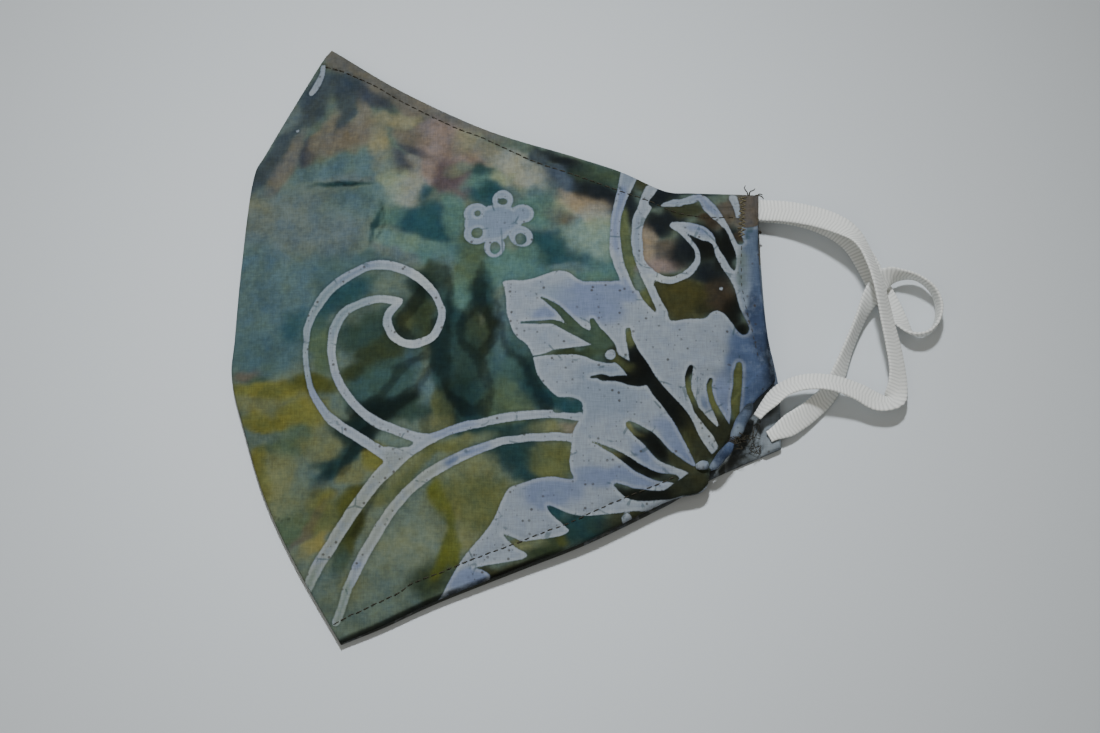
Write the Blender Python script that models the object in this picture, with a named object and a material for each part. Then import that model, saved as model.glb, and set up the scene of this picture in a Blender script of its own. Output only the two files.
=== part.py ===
# Cloth face mask, folded in half at its centre seam and lying on its right half.
# Metres, +Z up. X runs from the seam to the ear side, Y from the chin to the nose,
# and the floor is Z = 0. The origin is under the middle of the cloth body.

import math
from collections import namedtuple

import bpy
from mathutils import Vector

# Cloth body
SEAM_HEIGHT = 0.1508
HALF_WIDTH = 0.1311
CLOTH_WALL = 0.0012
CLEARANCE = 0.0003

# How far the upper half stands off the lower one
DOME_RISE = 0.0044
SIDE_GAPE = 0.0049
TOP_GAPE = 0.0030
CHIN_GAPE = 0.0006
SIDE_SETBACK = 0.0014

# Turned hems along the ear side
HEM_WIDTH = 0.0044
HEM_WALL = 0.0010

# The chin corner of the upper half, pulled in and rolled by its tacking
CORNER_PULL_IN = 0.0012
CORNER_PULL_UP = 0.0158
ROLL_HEIGHT = 0.0016
ROLL_WIDTH = 0.0032
GATHER_SPREAD = 0.0016

# Flat elastic
ELASTIC_WIDTH = 0.0055
ELASTIC_WALL = 0.0010
ELASTIC_STEP = 0.0030

# Mesh fineness
UPPER_COLUMNS = 26
LOWER_COLUMNS = 12
HEM_COLUMNS = 2
ROWS = 30
CURVE_STEPS = 12

EdgePoint = namedtuple("EdgePoint", "across up")
Gather = namedtuple("Gather", "heading reach rise")
RoutePoint = namedtuple("RoutePoint", "x y z lean")

# Edges of the flat pattern: across is a share of HALF_WIDTH, up of SEAM_HEIGHT.
# The centre seam, from the chin to the nose
SEAM_EDGE = [
    EdgePoint(0.214, 0.000),
    EdgePoint(0.131, 0.121),
    EdgePoint(0.069, 0.231),
    EdgePoint(0.026, 0.343),
    EdgePoint(0.001, 0.424),
    EdgePoint(0.003, 0.492),
    EdgePoint(0.009, 0.614),
    EdgePoint(0.023, 0.762),
    EdgePoint(0.050, 0.820),
    EdgePoint(0.139, 0.969),
    EdgePoint(0.163, 1.000),
]

# The nose edge, from the seam to the ear side
NOSE_EDGE = [
    EdgePoint(0.163, 1.000),
    EdgePoint(0.299, 0.919),
    EdgePoint(0.464, 0.843),
    EdgePoint(0.623, 0.795),
    EdgePoint(0.714, 0.767),
    EdgePoint(0.795, 0.734),
    EdgePoint(0.850, 0.731),
    EdgePoint(0.971, 0.731),
]

# The ear side, from the chin to the nose
EAR_EDGE = [
    EdgePoint(1.000, 0.311),
    EdgePoint(0.999, 0.410),
    EdgePoint(0.982, 0.500),
    EdgePoint(0.975, 0.600),
    EdgePoint(0.971, 0.731),
]

# The chin edge, from the seam to the last point that both halves share
CHIN_EDGE = [
    EdgePoint(0.214, 0.000),
    EdgePoint(0.285, 0.026),
    EdgePoint(0.385, 0.067),
    EdgePoint(0.526, 0.116),
    EdgePoint(0.653, 0.160),
    EdgePoint(0.790, 0.219),
]

# Where the chin edge goes on: straight in the lower half, and in the upper half round
# the rolled corner, whose last point is CORNER_PULL_IN and CORNER_PULL_UP off the pattern's
LOWER_CHIN_END = [
    EdgePoint(0.878, 0.264),
]
UPPER_CHIN_END = [
    EdgePoint(0.856, 0.236),
    EdgePoint(0.872, 0.274),
    EdgePoint(0.905, 0.318),
    EdgePoint(0.938, 0.366),
]

# Shares of the upper chin edge between which the hem is rolled
ROLL_START = 0.74
ROLL_END = 0.94
ROLL_FADE = 0.05

# Gathers that fan out from the pulled corner: heading in degrees from +X,
# reach as a share of HALF_WIDTH, rise as a share of CLOTH_WALL
GATHERS = [
    Gather(118.0, 0.20, 0.60),
    Gather(146.0, 0.26, 0.75),
    Gather(172.0, 0.24, 0.65),
    Gather(199.0, 0.18, 0.55),
]

# Routes of the ear loops in millimetres, chosen by hand. Lean is the turn of the
# band's width out of the level, in degrees, with its right edge up.
LEFT_LOOP_ROUTE = [
    RoutePoint(62.1, 31.1, 4.6, 0),
    RoutePoint(67.6, 30.5, 5.4, 0),
    RoutePoint(72.6, 29.3, 6.4, 2),
    RoutePoint(77.0, 27.7, 7.4, 6),
    RoutePoint(80.9, 25.6, 8.4, 14),
    RoutePoint(83.7, 23.4, 9.0, 30),
    RoutePoint(85.6, 20.8, 9.5, 46),
    RoutePoint(87.1, 17.4, 10.1, 54),
    RoutePoint(88.5, 13.1, 10.5, 54),
    RoutePoint(89.7, 8.4, 10.1, 52),
    RoutePoint(91.2, 2.1, 7.9, 46),
    RoutePoint(92.7, -4.4, 6.2, 40),
    RoutePoint(93.6, -10.3, 5.0, 36),
    RoutePoint(93.3, -15.1, 4.4, 16),
    RoutePoint(91.8, -17.8, 4.2, -34),
    RoutePoint(88.1, -17.7, 4.7, -22),
    RoutePoint(83.3, -15.6, 6.1, -26),
    RoutePoint(77.2, -14.0, 7.6, -31),
    RoutePoint(71.1, -13.9, 7.7, -32),
    RoutePoint(66.1, -15.5, 7.0, -38),
    RoutePoint(62.3, -18.9, 6.2, -42),
    RoutePoint(59.7, -21.9, 5.6, -42),
]
RIGHT_LOOP_ROUTE = [
    RoutePoint(62.6, 31.7, 2.0, 0),
    RoutePoint(68.5, 31.2, 2.3, -4),
    RoutePoint(75.0, 29.5, 2.7, -12),
    RoutePoint(80.7, 26.8, 2.7, -18),
    RoutePoint(84.8, 23.4, 2.4, -20),
    RoutePoint(87.6, 18.9, 2.0, -16),
    RoutePoint(90.1, 13.9, 1.3, -6),
    RoutePoint(92.5, 8.7, 1.5, 0),
    RoutePoint(95.0, 3.7, 2.4, 32),
    RoutePoint(97.6, 0.0, 3.2, 66),
    RoutePoint(101.2, -0.3, 3.5, 82),
    RoutePoint(103.8, 2.3, 3.6, 84),
    RoutePoint(104.7, 6.6, 3.6, 84),
    RoutePoint(103.2, 10.7, 4.3, 92),
    RoutePoint(99.7, 13.5, 4.7, 98),
    RoutePoint(95.5, 14.1, 4.9, 80),
    RoutePoint(91.6, 13.0, 5.3, 40),
    RoutePoint(88.6, 9.3, 5.4, 40),
    RoutePoint(85.5, 3.4, 4.2, 63),
    RoutePoint(82.4, -3.7, 3.4, 64),
    RoutePoint(79.9, -10.1, 2.8, 50),
    RoutePoint(77.3, -15.1, 2.7, 42),
    RoutePoint(72.6, -19.7, 2.9, 32),
    RoutePoint(67.4, -23.4, 3.4, 20),
    RoutePoint(62.6, -26.2, 3.5, 8),
]

# Base colour and roughness of each material
MATERIALS = {
    "batik_cotton": ((0.16, 0.22, 0.24, 1.0), 0.85),
    "hem_cotton": ((0.27, 0.32, 0.45, 1.0), 0.85),
    "white_elastic": ((0.80, 0.81, 0.79, 1.0), 0.75),
}


def clear_scene():
    for thing in list(bpy.data.objects):
        bpy.data.objects.remove(thing, do_unlink=True)


def make_material(name):
    """One Principled material of the table's colour and roughness."""
    colour, roughness = MATERIALS[name]
    material = bpy.data.materials.new(name)
    material.use_nodes = True
    shader = material.node_tree.nodes["Principled BSDF"]
    shader.inputs["Base Color"].default_value = colour
    shader.inputs["Roughness"].default_value = roughness
    shader.inputs["Metallic"].default_value = 0.0
    return material


def smooth_step(value):
    share = min(max(value, 0.0), 1.0)
    return share * share * (3.0 - 2.0 * share)


def cubic(before, start, end, after, share):
    """Catmull-Rom value between start and end."""
    slope_in = (end - before) / 2.0
    slope_out = (after - start) / 2.0
    bend = 2.0 * (start - end) + slope_in + slope_out
    lift = 3.0 * (end - start) - 2.0 * slope_in - slope_out
    return start + slope_in * share + lift * share**2 + bend * share**3


def smooth_curve(points):
    """A dense run of vectors on the smooth curve through the points."""
    ends = [points[0] * 2 - points[1], *points, points[-1] * 2 - points[-2]]
    run = []
    for index in range(1, len(ends) - 2):
        for step in range(CURVE_STEPS):
            run.append(cubic(*ends[index - 1 : index + 3], step / CURVE_STEPS))
    run.append(points[-1].copy())
    return run


def evenly_spaced(run, count):
    """count + 1 vectors at equal distances along a run, measured in its first three axes."""
    lengths = [0.0]
    for first, second in zip(run, run[1:]):
        lengths.append(lengths[-1] + (second.xyz - first.xyz).length)
    found = []
    index = 0
    for step in range(count + 1):
        target = lengths[-1] * step / count
        while index < len(run) - 2 and lengths[index + 1] < target:
            index += 1
        span = lengths[index + 1] - lengths[index]
        found.append(run[index].lerp(run[index + 1], (target - lengths[index]) / span))
    return found


def pattern_point(row):
    return Vector((row.across * HALF_WIDTH, row.up * SEAM_HEIGHT, 0.0))


def edge_run(rows, extra=()):
    return smooth_curve([pattern_point(row) for row in rows] + list(extra))


def point_at(run, share):
    """The point at a share of a run's length, from its evenly spaced copy."""
    place = share * (len(run) - 1)
    index = min(int(place), len(run) - 2)
    return run[index].lerp(run[index + 1], place - index)


class Half:
    """One half of the body: a cloth patch between the seam, nose, ear and chin edges."""

    def __init__(self, upper, columns):
        self.upper = upper
        self.columns = columns
        pattern_corner = pattern_point(EAR_EDGE[0])
        if upper:
            corner = pattern_corner + Vector((-CORNER_PULL_IN, CORNER_PULL_UP, 0.0))
            chin_end = UPPER_CHIN_END
        else:
            corner = pattern_corner
            chin_end = LOWER_CHIN_END
        chin_rows = [pattern_point(row) for row in CHIN_EDGE + chin_end]
        ear_points = [pattern_point(row) for row in EAR_EDGE[1:]]
        ear_rows = [corner] + [point for point in ear_points if point.y > corner.y + HEM_WIDTH]
        fine = ROWS * CURVE_STEPS
        self.chin = evenly_spaced(smooth_curve(chin_rows + [corner]), fine)
        self.ear = evenly_spaced(smooth_curve(ear_rows), fine)
        self.seam = evenly_spaced(edge_run(SEAM_EDGE), fine)
        self.nose = evenly_spaced(edge_run(NOSE_EDGE), fine)

    def flat(self, across, up):
        """The level place of a share across and a share up, blended from the four edges."""
        sides = point_at(self.seam, up) * (1 - across) + point_at(self.ear, up) * across
        ends = point_at(self.chin, across) * (1 - up) + point_at(self.nose, across) * up
        chin_line = self.seam[0] * (1 - across) + self.ear[0] * across
        nose_line = self.seam[-1] * (1 - across) + self.ear[-1] * across
        place = sides + ends - (chin_line * (1 - up) + nose_line * up)
        if self.upper:
            place.x -= SIDE_SETBACK * across * math.sin(math.pi * up)
        return place

    def hem_line(self, up):
        """The share across where the ear hem begins."""
        width = (point_at(self.ear, up) - point_at(self.seam, up)).length
        return 1.0 - HEM_WIDTH / width

    def share_across(self, column, up):
        """The share across of a mesh column, whose last HEM_COLUMNS lie on the hem."""
        line = self.hem_line(up)
        if column <= self.columns:
            return line * column / self.columns
        return line + (1.0 - line) * (column - self.columns) / HEM_COLUMNS

    def gather_rise(self, place):
        """Height of the gathers that fan out from the pulled corner."""
        arm = place - self.ear[0]
        distance = arm.length
        rise = 0.0
        for fold in GATHERS:
            heading = math.radians(fold.heading)
            along = arm.x * math.cos(heading) + arm.y * math.sin(heading)
            aside = arm.y * math.cos(heading) - arm.x * math.sin(heading)
            reach = fold.reach * HALF_WIDTH
            if along <= 0.0 or distance >= reach:
                continue
            fade = smooth_step(1.0 - distance / reach) * smooth_step(along / HEM_WIDTH)
            rise += fold.rise * CLOTH_WALL * fade * math.exp(-((aside / GATHER_SPREAD) ** 2))
        return rise

    def roll_rise(self, across, up, place):
        """Height that the rolled chin hem adds near the pulled corner."""
        distance = (place - point_at(self.chin, across)).length
        begin = smooth_step((across - ROLL_START) / ROLL_FADE)
        finish = smooth_step((ROLL_END - across) / ROLL_FADE)
        swell = math.exp(-((distance / ROLL_WIDTH) ** 2)) * (1.0 - up)
        return ROLL_HEIGHT * begin * finish * swell

    def stand_off(self, across, up):
        """Height of the upper half's inner face over the lower half's."""
        hem_stack = 2.0 * (HEM_WALL + CLEARANCE) * smooth_step(across / self.hem_line(up))
        middle = math.sin(math.pi * across) ** 0.8
        height = math.sin(math.pi * up)
        lift = DOME_RISE * middle * height
        lift += SIDE_GAPE * across**2 * max(height, 0.0) ** 0.8
        lift += TOP_GAPE * middle * up**3
        lift += CHIN_GAPE * middle * (1.0 - up) ** 3
        return CLEARANCE + hem_stack + lift

    def faces_at(self, across, up):
        """The level place, and the heights of the cloth's lower and upper face."""
        place = self.flat(across, up)
        if not self.upper:
            return place, 0.0, CLOTH_WALL
        under = CLOTH_WALL + self.stand_off(across, up) + self.gather_rise(place)
        return place, under, under + CLOTH_WALL + self.roll_rise(across, up, place)

    def rows_of_points(self, first_column, last_column, heights):
        """Grid rows of (under, over) points, whose heights come from heights(under, over)."""
        grid = []
        for row in range(ROWS + 1):
            up = row / ROWS
            line = []
            for column in range(first_column, last_column + 1):
                place, under, over = self.faces_at(self.share_across(column, up), up)
                low, high = heights(under, over)
                line.append((Vector((place.x, place.y, low)), Vector((place.x, place.y, high))))
            grid.append(line)
        return grid


def body_centre(halves):
    """The middle of the level box round both halves."""
    places = []
    for half in halves:
        for row in range(ROWS + 1):
            for column in range(half.columns + HEM_COLUMNS + 1):
                up = row / ROWS
                places.append(half.flat(half.share_across(column, up), up))
    middle_x = (min(p.x for p in places) + max(p.x for p in places)) / 2.0
    middle_y = (min(p.y for p in places) + max(p.y for p in places)) / 2.0
    return Vector((middle_x, middle_y, 0.0))


def make_object(name, points, faces, material):
    mesh = bpy.data.meshes.new(name)
    mesh.from_pydata([tuple(point) for point in points], [], faces)
    mesh.materials.append(material)
    mesh.shade_smooth()
    mesh.set_sharp_from_angle(angle=math.radians(40.0))
    thing = bpy.data.objects.new(name, mesh)
    bpy.context.scene.collection.objects.link(thing)
    return thing


def slab_from_grid(name, grid, centre, material):
    """A closed cloth solid between the under and over points of a grid."""
    rows, columns = len(grid), len(grid[0])
    points = [pair[0] - centre for line in grid for pair in line]
    points += [pair[1] - centre for line in grid for pair in line]
    over = rows * columns

    def index(row, column):
        return row * columns + column

    faces = []
    for row in range(rows - 1):
        for column in range(columns - 1):
            ring = (
                index(row, column),
                index(row, column + 1),
                index(row + 1, column + 1),
                index(row + 1, column),
            )
            faces.append(tuple(reversed(ring)))
            faces.append(tuple(corner + over for corner in ring))
    rim = [index(0, column) for column in range(columns)]
    rim += [index(row, columns - 1) for row in range(1, rows)]
    rim += [index(rows - 1, column) for column in range(columns - 2, -1, -1)]
    rim += [index(row, 0) for row in range(rows - 2, 0, -1)]
    for start, end in zip(rim, rim[1:] + rim[:1]):
        faces.append((start, end, end + over, start + over))
    return make_object(name, points, faces, material)


def make_panel(name, half, centre, material):
    last = half.columns + HEM_COLUMNS
    grid = half.rows_of_points(0, last, lambda under, over: (under, over))
    return slab_from_grid(name, grid, centre, material)


def make_hem(name, half, centre, material):
    """The turned strip on the panel's inner face, along the ear side."""
    last = half.columns + HEM_COLUMNS
    if half.upper:
        top = -CLEARANCE
        grid = half.rows_of_points(
            half.columns, last, lambda under, over: (under + top - HEM_WALL, under + top)
        )
    else:
        grid = half.rows_of_points(
            half.columns,
            last,
            lambda under, over: (over + CLEARANCE, over + CLEARANCE + HEM_WALL),
        )
    return slab_from_grid(name, grid, centre, material)


def band_section():
    """The elastic's cross-section: across its width and through its wall."""
    wide, thick = ELASTIC_WIDTH / 2.0, ELASTIC_WALL / 2.0
    corner = thick * 0.6
    return [
        (wide, thick - corner),
        (wide - corner, thick),
        (corner - wide, thick),
        (-wide, thick - corner),
        (-wide, corner - thick),
        (corner - wide, -thick),
        (wide - corner, -thick),
        (wide, corner - thick),
    ]


def make_loop(name, route, material):
    """A flat elastic band swept along a smooth curve through the route's points."""
    metres = [Vector((p.x / 1000.0, p.y / 1000.0, p.z / 1000.0, math.radians(p.lean))) for p in route]
    run = smooth_curve(metres)
    length = sum((b.xyz - a.xyz).length for a, b in zip(run, run[1:]))
    centres = evenly_spaced(run, round(length / ELASTIC_STEP))
    section = band_section()
    points = []
    for number, centre in enumerate(centres):
        before = centres[max(number - 1, 0)].xyz
        after = centres[min(number + 1, len(centres) - 1)].xyz
        forward = (after - before).normalized()
        right = forward.cross(Vector((0.0, 0.0, 1.0))).normalized()
        above = right.cross(forward)
        width_way = right * math.cos(centre.w) + above * math.sin(centre.w)
        wall_way = above * math.cos(centre.w) - right * math.sin(centre.w)
        for across, through in section:
            points.append(centre.xyz + width_way * across + wall_way * through)
    sides = len(section)
    faces = [tuple(range(sides))]
    for ring in range(len(centres) - 1):
        for side in range(sides):
            start = ring * sides + side
            turn = ring * sides + (side + 1) % sides
            faces.append((start, start + sides, turn + sides, turn))
    faces.append(tuple(len(points) - 1 - side for side in range(sides)))
    return make_object(name, points, faces, material)


def build_mask():
    clear_scene()
    cotton = make_material("batik_cotton")
    hem_cotton = make_material("hem_cotton")
    elastic = make_material("white_elastic")
    upper = Half(True, UPPER_COLUMNS)
    lower = Half(False, LOWER_COLUMNS)
    centre = body_centre([upper, lower])
    make_panel("left_panel", upper, centre, cotton)
    make_panel("right_panel", lower, centre, cotton)
    make_hem("left_side_hem", upper, centre, hem_cotton)
    make_hem("right_side_hem", lower, centre, hem_cotton)
    make_loop("left_ear_loop", LEFT_LOOP_ROUTE, elastic)
    make_loop("right_ear_loop", RIGHT_LOOP_ROUTE, elastic)


build_mask()
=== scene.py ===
import math
from collections import namedtuple

import bpy
import numpy as np
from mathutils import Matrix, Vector


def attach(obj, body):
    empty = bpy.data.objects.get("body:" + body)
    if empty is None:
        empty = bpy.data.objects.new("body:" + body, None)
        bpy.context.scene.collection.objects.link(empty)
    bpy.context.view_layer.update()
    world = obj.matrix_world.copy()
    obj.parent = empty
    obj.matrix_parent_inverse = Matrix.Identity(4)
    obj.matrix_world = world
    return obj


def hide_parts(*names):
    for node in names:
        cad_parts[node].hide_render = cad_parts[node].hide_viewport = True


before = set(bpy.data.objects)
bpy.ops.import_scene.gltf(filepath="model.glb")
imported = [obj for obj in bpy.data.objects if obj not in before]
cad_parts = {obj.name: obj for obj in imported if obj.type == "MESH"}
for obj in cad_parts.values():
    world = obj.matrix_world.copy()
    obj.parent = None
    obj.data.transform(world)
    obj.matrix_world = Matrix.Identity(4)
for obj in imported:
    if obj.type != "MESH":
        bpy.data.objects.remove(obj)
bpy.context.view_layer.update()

# Lengths in the tables below are millimetres in the frame's own axes:
# X from the centre seam to the ear side, Y from the chin to the nose, Z up from the floor
mm = 0.001


# small helpers

def deselectAll():
    if bpy.context.object and bpy.context.object.mode != "OBJECT":
        bpy.ops.object.mode_set(mode="OBJECT")
    bpy.ops.object.select_all(action="DESELECT")


def smoothStep(value):
    share = np.clip(value, 0.0, 1.0)
    return share * share * (3.0 - 2.0 * share)


def smoothRun(points, steps=12, closed=False):
    # dense points on the smooth curve through all the points given
    rows = np.asarray(points, dtype=float)
    if closed:
        ends = np.vstack([rows[-1:], rows, rows[:2]])
    else:
        ends = np.vstack([2 * rows[:1] - rows[1:2], rows, 2 * rows[-1:] - rows[-2:-1]])
    share = np.linspace(0.0, 1.0, steps, endpoint=False)[:, None]
    parts = []
    for before, start, end, after in zip(ends, ends[1:], ends[2:], ends[3:]):
        slopeIn = (end - before) / 2
        slopeOut = (after - start) / 2
        bend = 2 * (start - end) + slopeIn + slopeOut
        lift = 3 * (end - start) - 2 * slopeIn - slopeOut
        parts.append(start + slopeIn * share + lift * share**2 + bend * share**3)
    if not closed:
        parts.append(rows[-1:])
    return np.vstack(parts)


def runLength(run, axes=3):
    return np.linalg.norm(np.diff(run[:, :axes], axis=0), axis=1).sum()


def evenRun(run, count, axes=3):
    # count + 1 points at equal distances along a run
    steps = np.linalg.norm(np.diff(run[:, :axes], axis=0), axis=1)
    along = np.concatenate([[0.0], np.cumsum(steps)])
    wanted = np.linspace(0.0, along[-1], count + 1)
    return np.column_stack([np.interp(wanted, along, column) for column in run.T])


def meshPiece(name, points, faces):
    mesh = bpy.data.meshes.new(name)
    mesh.from_pydata(np.asarray(points).tolist(), [], faces)
    mesh.shade_smooth()
    piece = bpy.data.objects.new(name, mesh)
    bpy.context.scene.collection.objects.link(piece)
    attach(piece, "root")
    return piece


def giveAttribute(piece, name, values):
    layer = piece.data.attributes.new(name, "FLOAT", "POINT")
    layer.data.foreach_set("value", np.asarray(values, dtype=np.float32).ravel())


def giveColour(piece, name, colours):
    layer = piece.data.attributes.new(name, "FLOAT_COLOR", "POINT")
    rows = np.column_stack([colours, np.ones(len(colours))])
    layer.data.foreach_set("color", rows.astype(np.float32).ravel())


def newMaterial(name, roughness, specular):
    material = bpy.data.materials.new(name)
    material.use_nodes = True
    shader = material.node_tree.nodes["Principled BSDF"]
    shader.inputs["Roughness"].default_value = roughness
    shader.inputs["Specular IOR Level"].default_value = specular
    return material, material.node_tree, shader


def linearColour(red, green, blue):
    # a colour as a screen shows it, 0 to 255, in the shader's linear numbers
    shares = np.array([red, green, blue]) / 255.0
    return np.where(shares <= 0.04045, shares / 12.92, ((shares + 0.055) / 1.055) ** 2.4)


def addNode(tree, kind, settings=None, inputs=None):
    node = tree.nodes.new(kind)
    for key, value in (settings or {}).items():
        setattr(node, key, value)
    for key, value in (inputs or {}).items():
        if isinstance(value, bpy.types.NodeSocket):
            tree.links.new(value, node.inputs[key])
        else:
            node.inputs[key].default_value = value
    return node


def mathNode(tree, operation, first, second=0.5, third=None):
    inputs = {0: first, 1: second}
    if third is not None:
        inputs[2] = third
    return addNode(tree, "ShaderNodeMath", {"operation": operation}, inputs).outputs[0]


def mixColour(tree, factor, first, second, blend="MIX"):
    node = addNode(tree, "ShaderNodeMix", {"data_type": "RGBA", "blend_type": blend},
                   {"Factor": factor, "A": first, "B": second})
    return node.outputs["Result"]


def rangeNode(tree, value, fromLow, fromHigh, toLow=0.0, toHigh=1.0):
    node = addNode(tree, "ShaderNodeMapRange", {"interpolation_type": "SMOOTHSTEP"},
                   {"Value": value, "From Min": fromLow, "From Max": fromHigh,
                    "To Min": toLow, "To Max": toHigh})
    return node.outputs["Result"]


def attributeNode(tree, name, output="Color"):
    return addNode(tree, "ShaderNodeAttribute", {"attribute_name": name}).outputs[output]


def threeParts(tree, red, green, blue):
    # three numbers as one colour
    return addNode(tree, "ShaderNodeCombineXYZ", None, {"X": red, "Y": green, "Z": blue}).outputs["Vector"]


def newGroup(name, inputs, outputs):
    group = bpy.data.node_groups.new(name, "ShaderNodeTree")
    for label, kind, value in inputs:
        socket = group.interface.new_socket(label, in_out="INPUT", socket_type=kind)
        if value is not None:
            socket.default_value = value
    for label, kind in outputs:
        group.interface.new_socket(label, in_out="OUTPUT", socket_type=kind)
    return group, group.nodes.new("NodeGroupInput").outputs, group.nodes.new("NodeGroupOutput").inputs


def objectPlace(tree):
    # object coordinates in mm
    spot = addNode(tree, "ShaderNodeTexCoord").outputs["Object"]
    mapping = addNode(tree, "ShaderNodeMapping", None,
                      {"Vector": spot, "Scale": (1 / mm, 1 / mm, 1 / mm)})
    return mapping.outputs["Vector"]


def stretched(tree, spot, scale):
    return addNode(tree, "ShaderNodeMapping", None, {"Vector": spot, "Scale": scale}).outputs["Vector"]


def noiseNode(tree, spot, scale, detail=2.0, roughness=0.5):
    return addNode(tree, "ShaderNodeTexNoise", None,
                   {"Vector": spot, "Scale": scale, "Detail": detail, "Roughness": roughness})


# camera, floor and light
cameraSet = {
    "target": (0.01075, -0.00755, 0.0),    # metres, like the distance
    "distance": 0.5154,
    "elevation": 72.0,
    "lens": 70.0,
    "sensor": 36.0,
    "nearest": 0.01,
}

lens = bpy.data.cameras.new("camera")
lens.lens = cameraSet["lens"]
lens.sensor_width = cameraSet["sensor"]
lens.clip_start = cameraSet["nearest"]
camera = bpy.data.objects.new("camera", lens)
bpy.context.scene.collection.objects.link(camera)
tilt = math.radians(cameraSet["elevation"])
back = Vector((0.0, -math.cos(tilt), math.sin(tilt)))
camera.location = Vector(cameraSet["target"]) + back * cameraSet["distance"]
camera.rotation_mode = "QUATERNION"
camera.rotation_quaternion = (-back).to_track_quat("-Z", "Y")
bpy.context.scene.camera = camera

floorSet = {"size": 4.0, "colour": (0.60, 0.64, 0.68), "roughness": 0.75, "specular": 0.2}
lightSet = {
    "key": {
        "place": (-0.03, 0.36, 0.85), "size": 0.10, "power": 0.34, "spread": 34,
        "colour": (0.95, 0.98, 1.0),
    },
    "fill": {
        "place": (-0.3, -0.45, 1.0), "size": 1.0, "power": 2.1, "spread": 180,
        "colour": (1.0, 0.97, 0.90),
    },
    "aim": (-0.012, -0.008, 0.0),
    "sky": (0.74, 0.70, 0.60),
    "skyStrength": 0.28,
}

deselectAll()
bpy.ops.mesh.primitive_plane_add(size=floorSet["size"], location=(0.0, 0.0, 0.0))
floor = bpy.context.object
floor.name = "floor"
floorPaint, tree, shader = newMaterial("floorPaint", floorSet["roughness"], floorSet["specular"])
shader.inputs["Base Color"].default_value = (*floorSet["colour"], 1.0)
floor.data.materials.append(floorPaint)

for name in ("key", "fill"):
    row = lightSet[name]
    lamp = bpy.data.lights.new(name, "AREA")
    lamp.shape = "DISK"
    lamp.size = row["size"]
    lamp.energy = row["power"]
    lamp.spread = math.radians(row["spread"])
    lamp.color = row["colour"]
    light = bpy.data.objects.new(name, lamp)
    bpy.context.scene.collection.objects.link(light)
    light.location = row["place"]
    light.rotation_mode = "QUATERNION"
    light.rotation_quaternion = (Vector(lightSet["aim"]) - Vector(row["place"])).to_track_quat("-Z", "Y")

world = bpy.data.worlds.new("studio")
world.use_nodes = True
world.node_tree.nodes["Background"].inputs["Color"].default_value = (*lightSet["sky"], 1.0)
world.node_tree.nodes["Background"].inputs["Strength"].default_value = lightSet["skyStrength"]
bpy.context.scene.world = world
print("camera, floor and light are set")


# ear loops
RoutePoint = namedtuple("RoutePoint", "x y z lean")    # mm, and degrees that the band leans

elasticSet = {
    "width": 5.5,          # mm
    "wall": 1.0,
    "sides": 28,           # points round the section
    "step": 0.145,         # mm between rings
    "ribPitch": 0.87,      # mm from one rib to the next
    "ribDepth": 0.055,
    "edgeBite": 0.13,      # how far the picot edge steps in between ribs
    "edgeFrom": 0.72,      # share of half the width where the picot edge begins
    "edgeRib": 0.5,        # share of the ribs' depth that the picot edge loses
    "sideRound": 0.55,     # powers that square off the round section, across and through
    "faceRound": 0.75,
    "chevron": 0.22,       # how far a rib runs on along the band at its edge, in pitches per mm
    "tucked": 2.4,         # how far the upper end runs on between the hem's layers
    "pinch": 0.52,         # width left where the lower end is gathered into the corner
    "pinchReach": 6.5,
}

leftLoopRoute = [RoutePoint(*row) for row in (
    (62.1, 31.1, 4.6, 0), (67.6, 30.5, 5.4, 0), (72.6, 29.3, 6.4, 2), (77.0, 27.7, 7.4, 6),
    (80.9, 25.6, 8.4, 14), (83.7, 23.4, 9.0, 30), (85.6, 20.8, 9.5, 46), (87.1, 17.4, 10.1, 54),
    (88.5, 13.1, 10.5, 54), (89.7, 8.4, 10.1, 52), (91.2, 2.1, 7.9, 46), (92.7, -4.4, 6.2, 40),
    (93.6, -10.3, 5.0, 36), (93.3, -15.1, 4.4, 16), (91.8, -17.8, 4.2, -34), (88.1, -17.7, 4.7, -22),
    (83.3, -15.6, 6.1, -26), (77.2, -14.0, 7.6, -31), (71.1, -13.9, 7.7, -32), (66.1, -15.5, 7.0, -38),
    (62.3, -18.9, 6.2, -42), (59.7, -21.9, 5.6, -42),
)]
rightLoopRoute = [RoutePoint(*row) for row in (
    (62.6, 31.7, 2.0, 0), (68.5, 31.2, 2.3, -4), (75.0, 29.5, 2.7, -12), (80.7, 26.8, 2.7, -18),
    (84.8, 23.4, 2.4, -20), (87.6, 18.9, 2.0, -16), (90.1, 13.9, 1.3, -6), (92.5, 8.7, 1.5, 0),
    (95.0, 3.7, 2.4, 32), (97.6, 0.0, 3.2, 66), (101.2, -0.3, 3.5, 82), (103.8, 2.3, 3.6, 84),
    (104.7, 6.6, 3.6, 84), (103.2, 10.7, 4.3, 92), (99.7, 13.5, 4.7, 98), (95.5, 14.1, 4.9, 80),
    (91.6, 13.0, 5.3, 40), (88.6, 9.3, 5.4, 40), (85.5, 3.4, 4.2, 63), (82.4, -3.7, 3.4, 64),
    (79.9, -10.1, 2.8, 50), (77.3, -15.1, 2.7, 42), (72.6, -19.7, 2.9, 32), (67.4, -23.4, 3.4, 20),
    (62.6, -26.2, 3.5, 8),
)]


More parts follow.
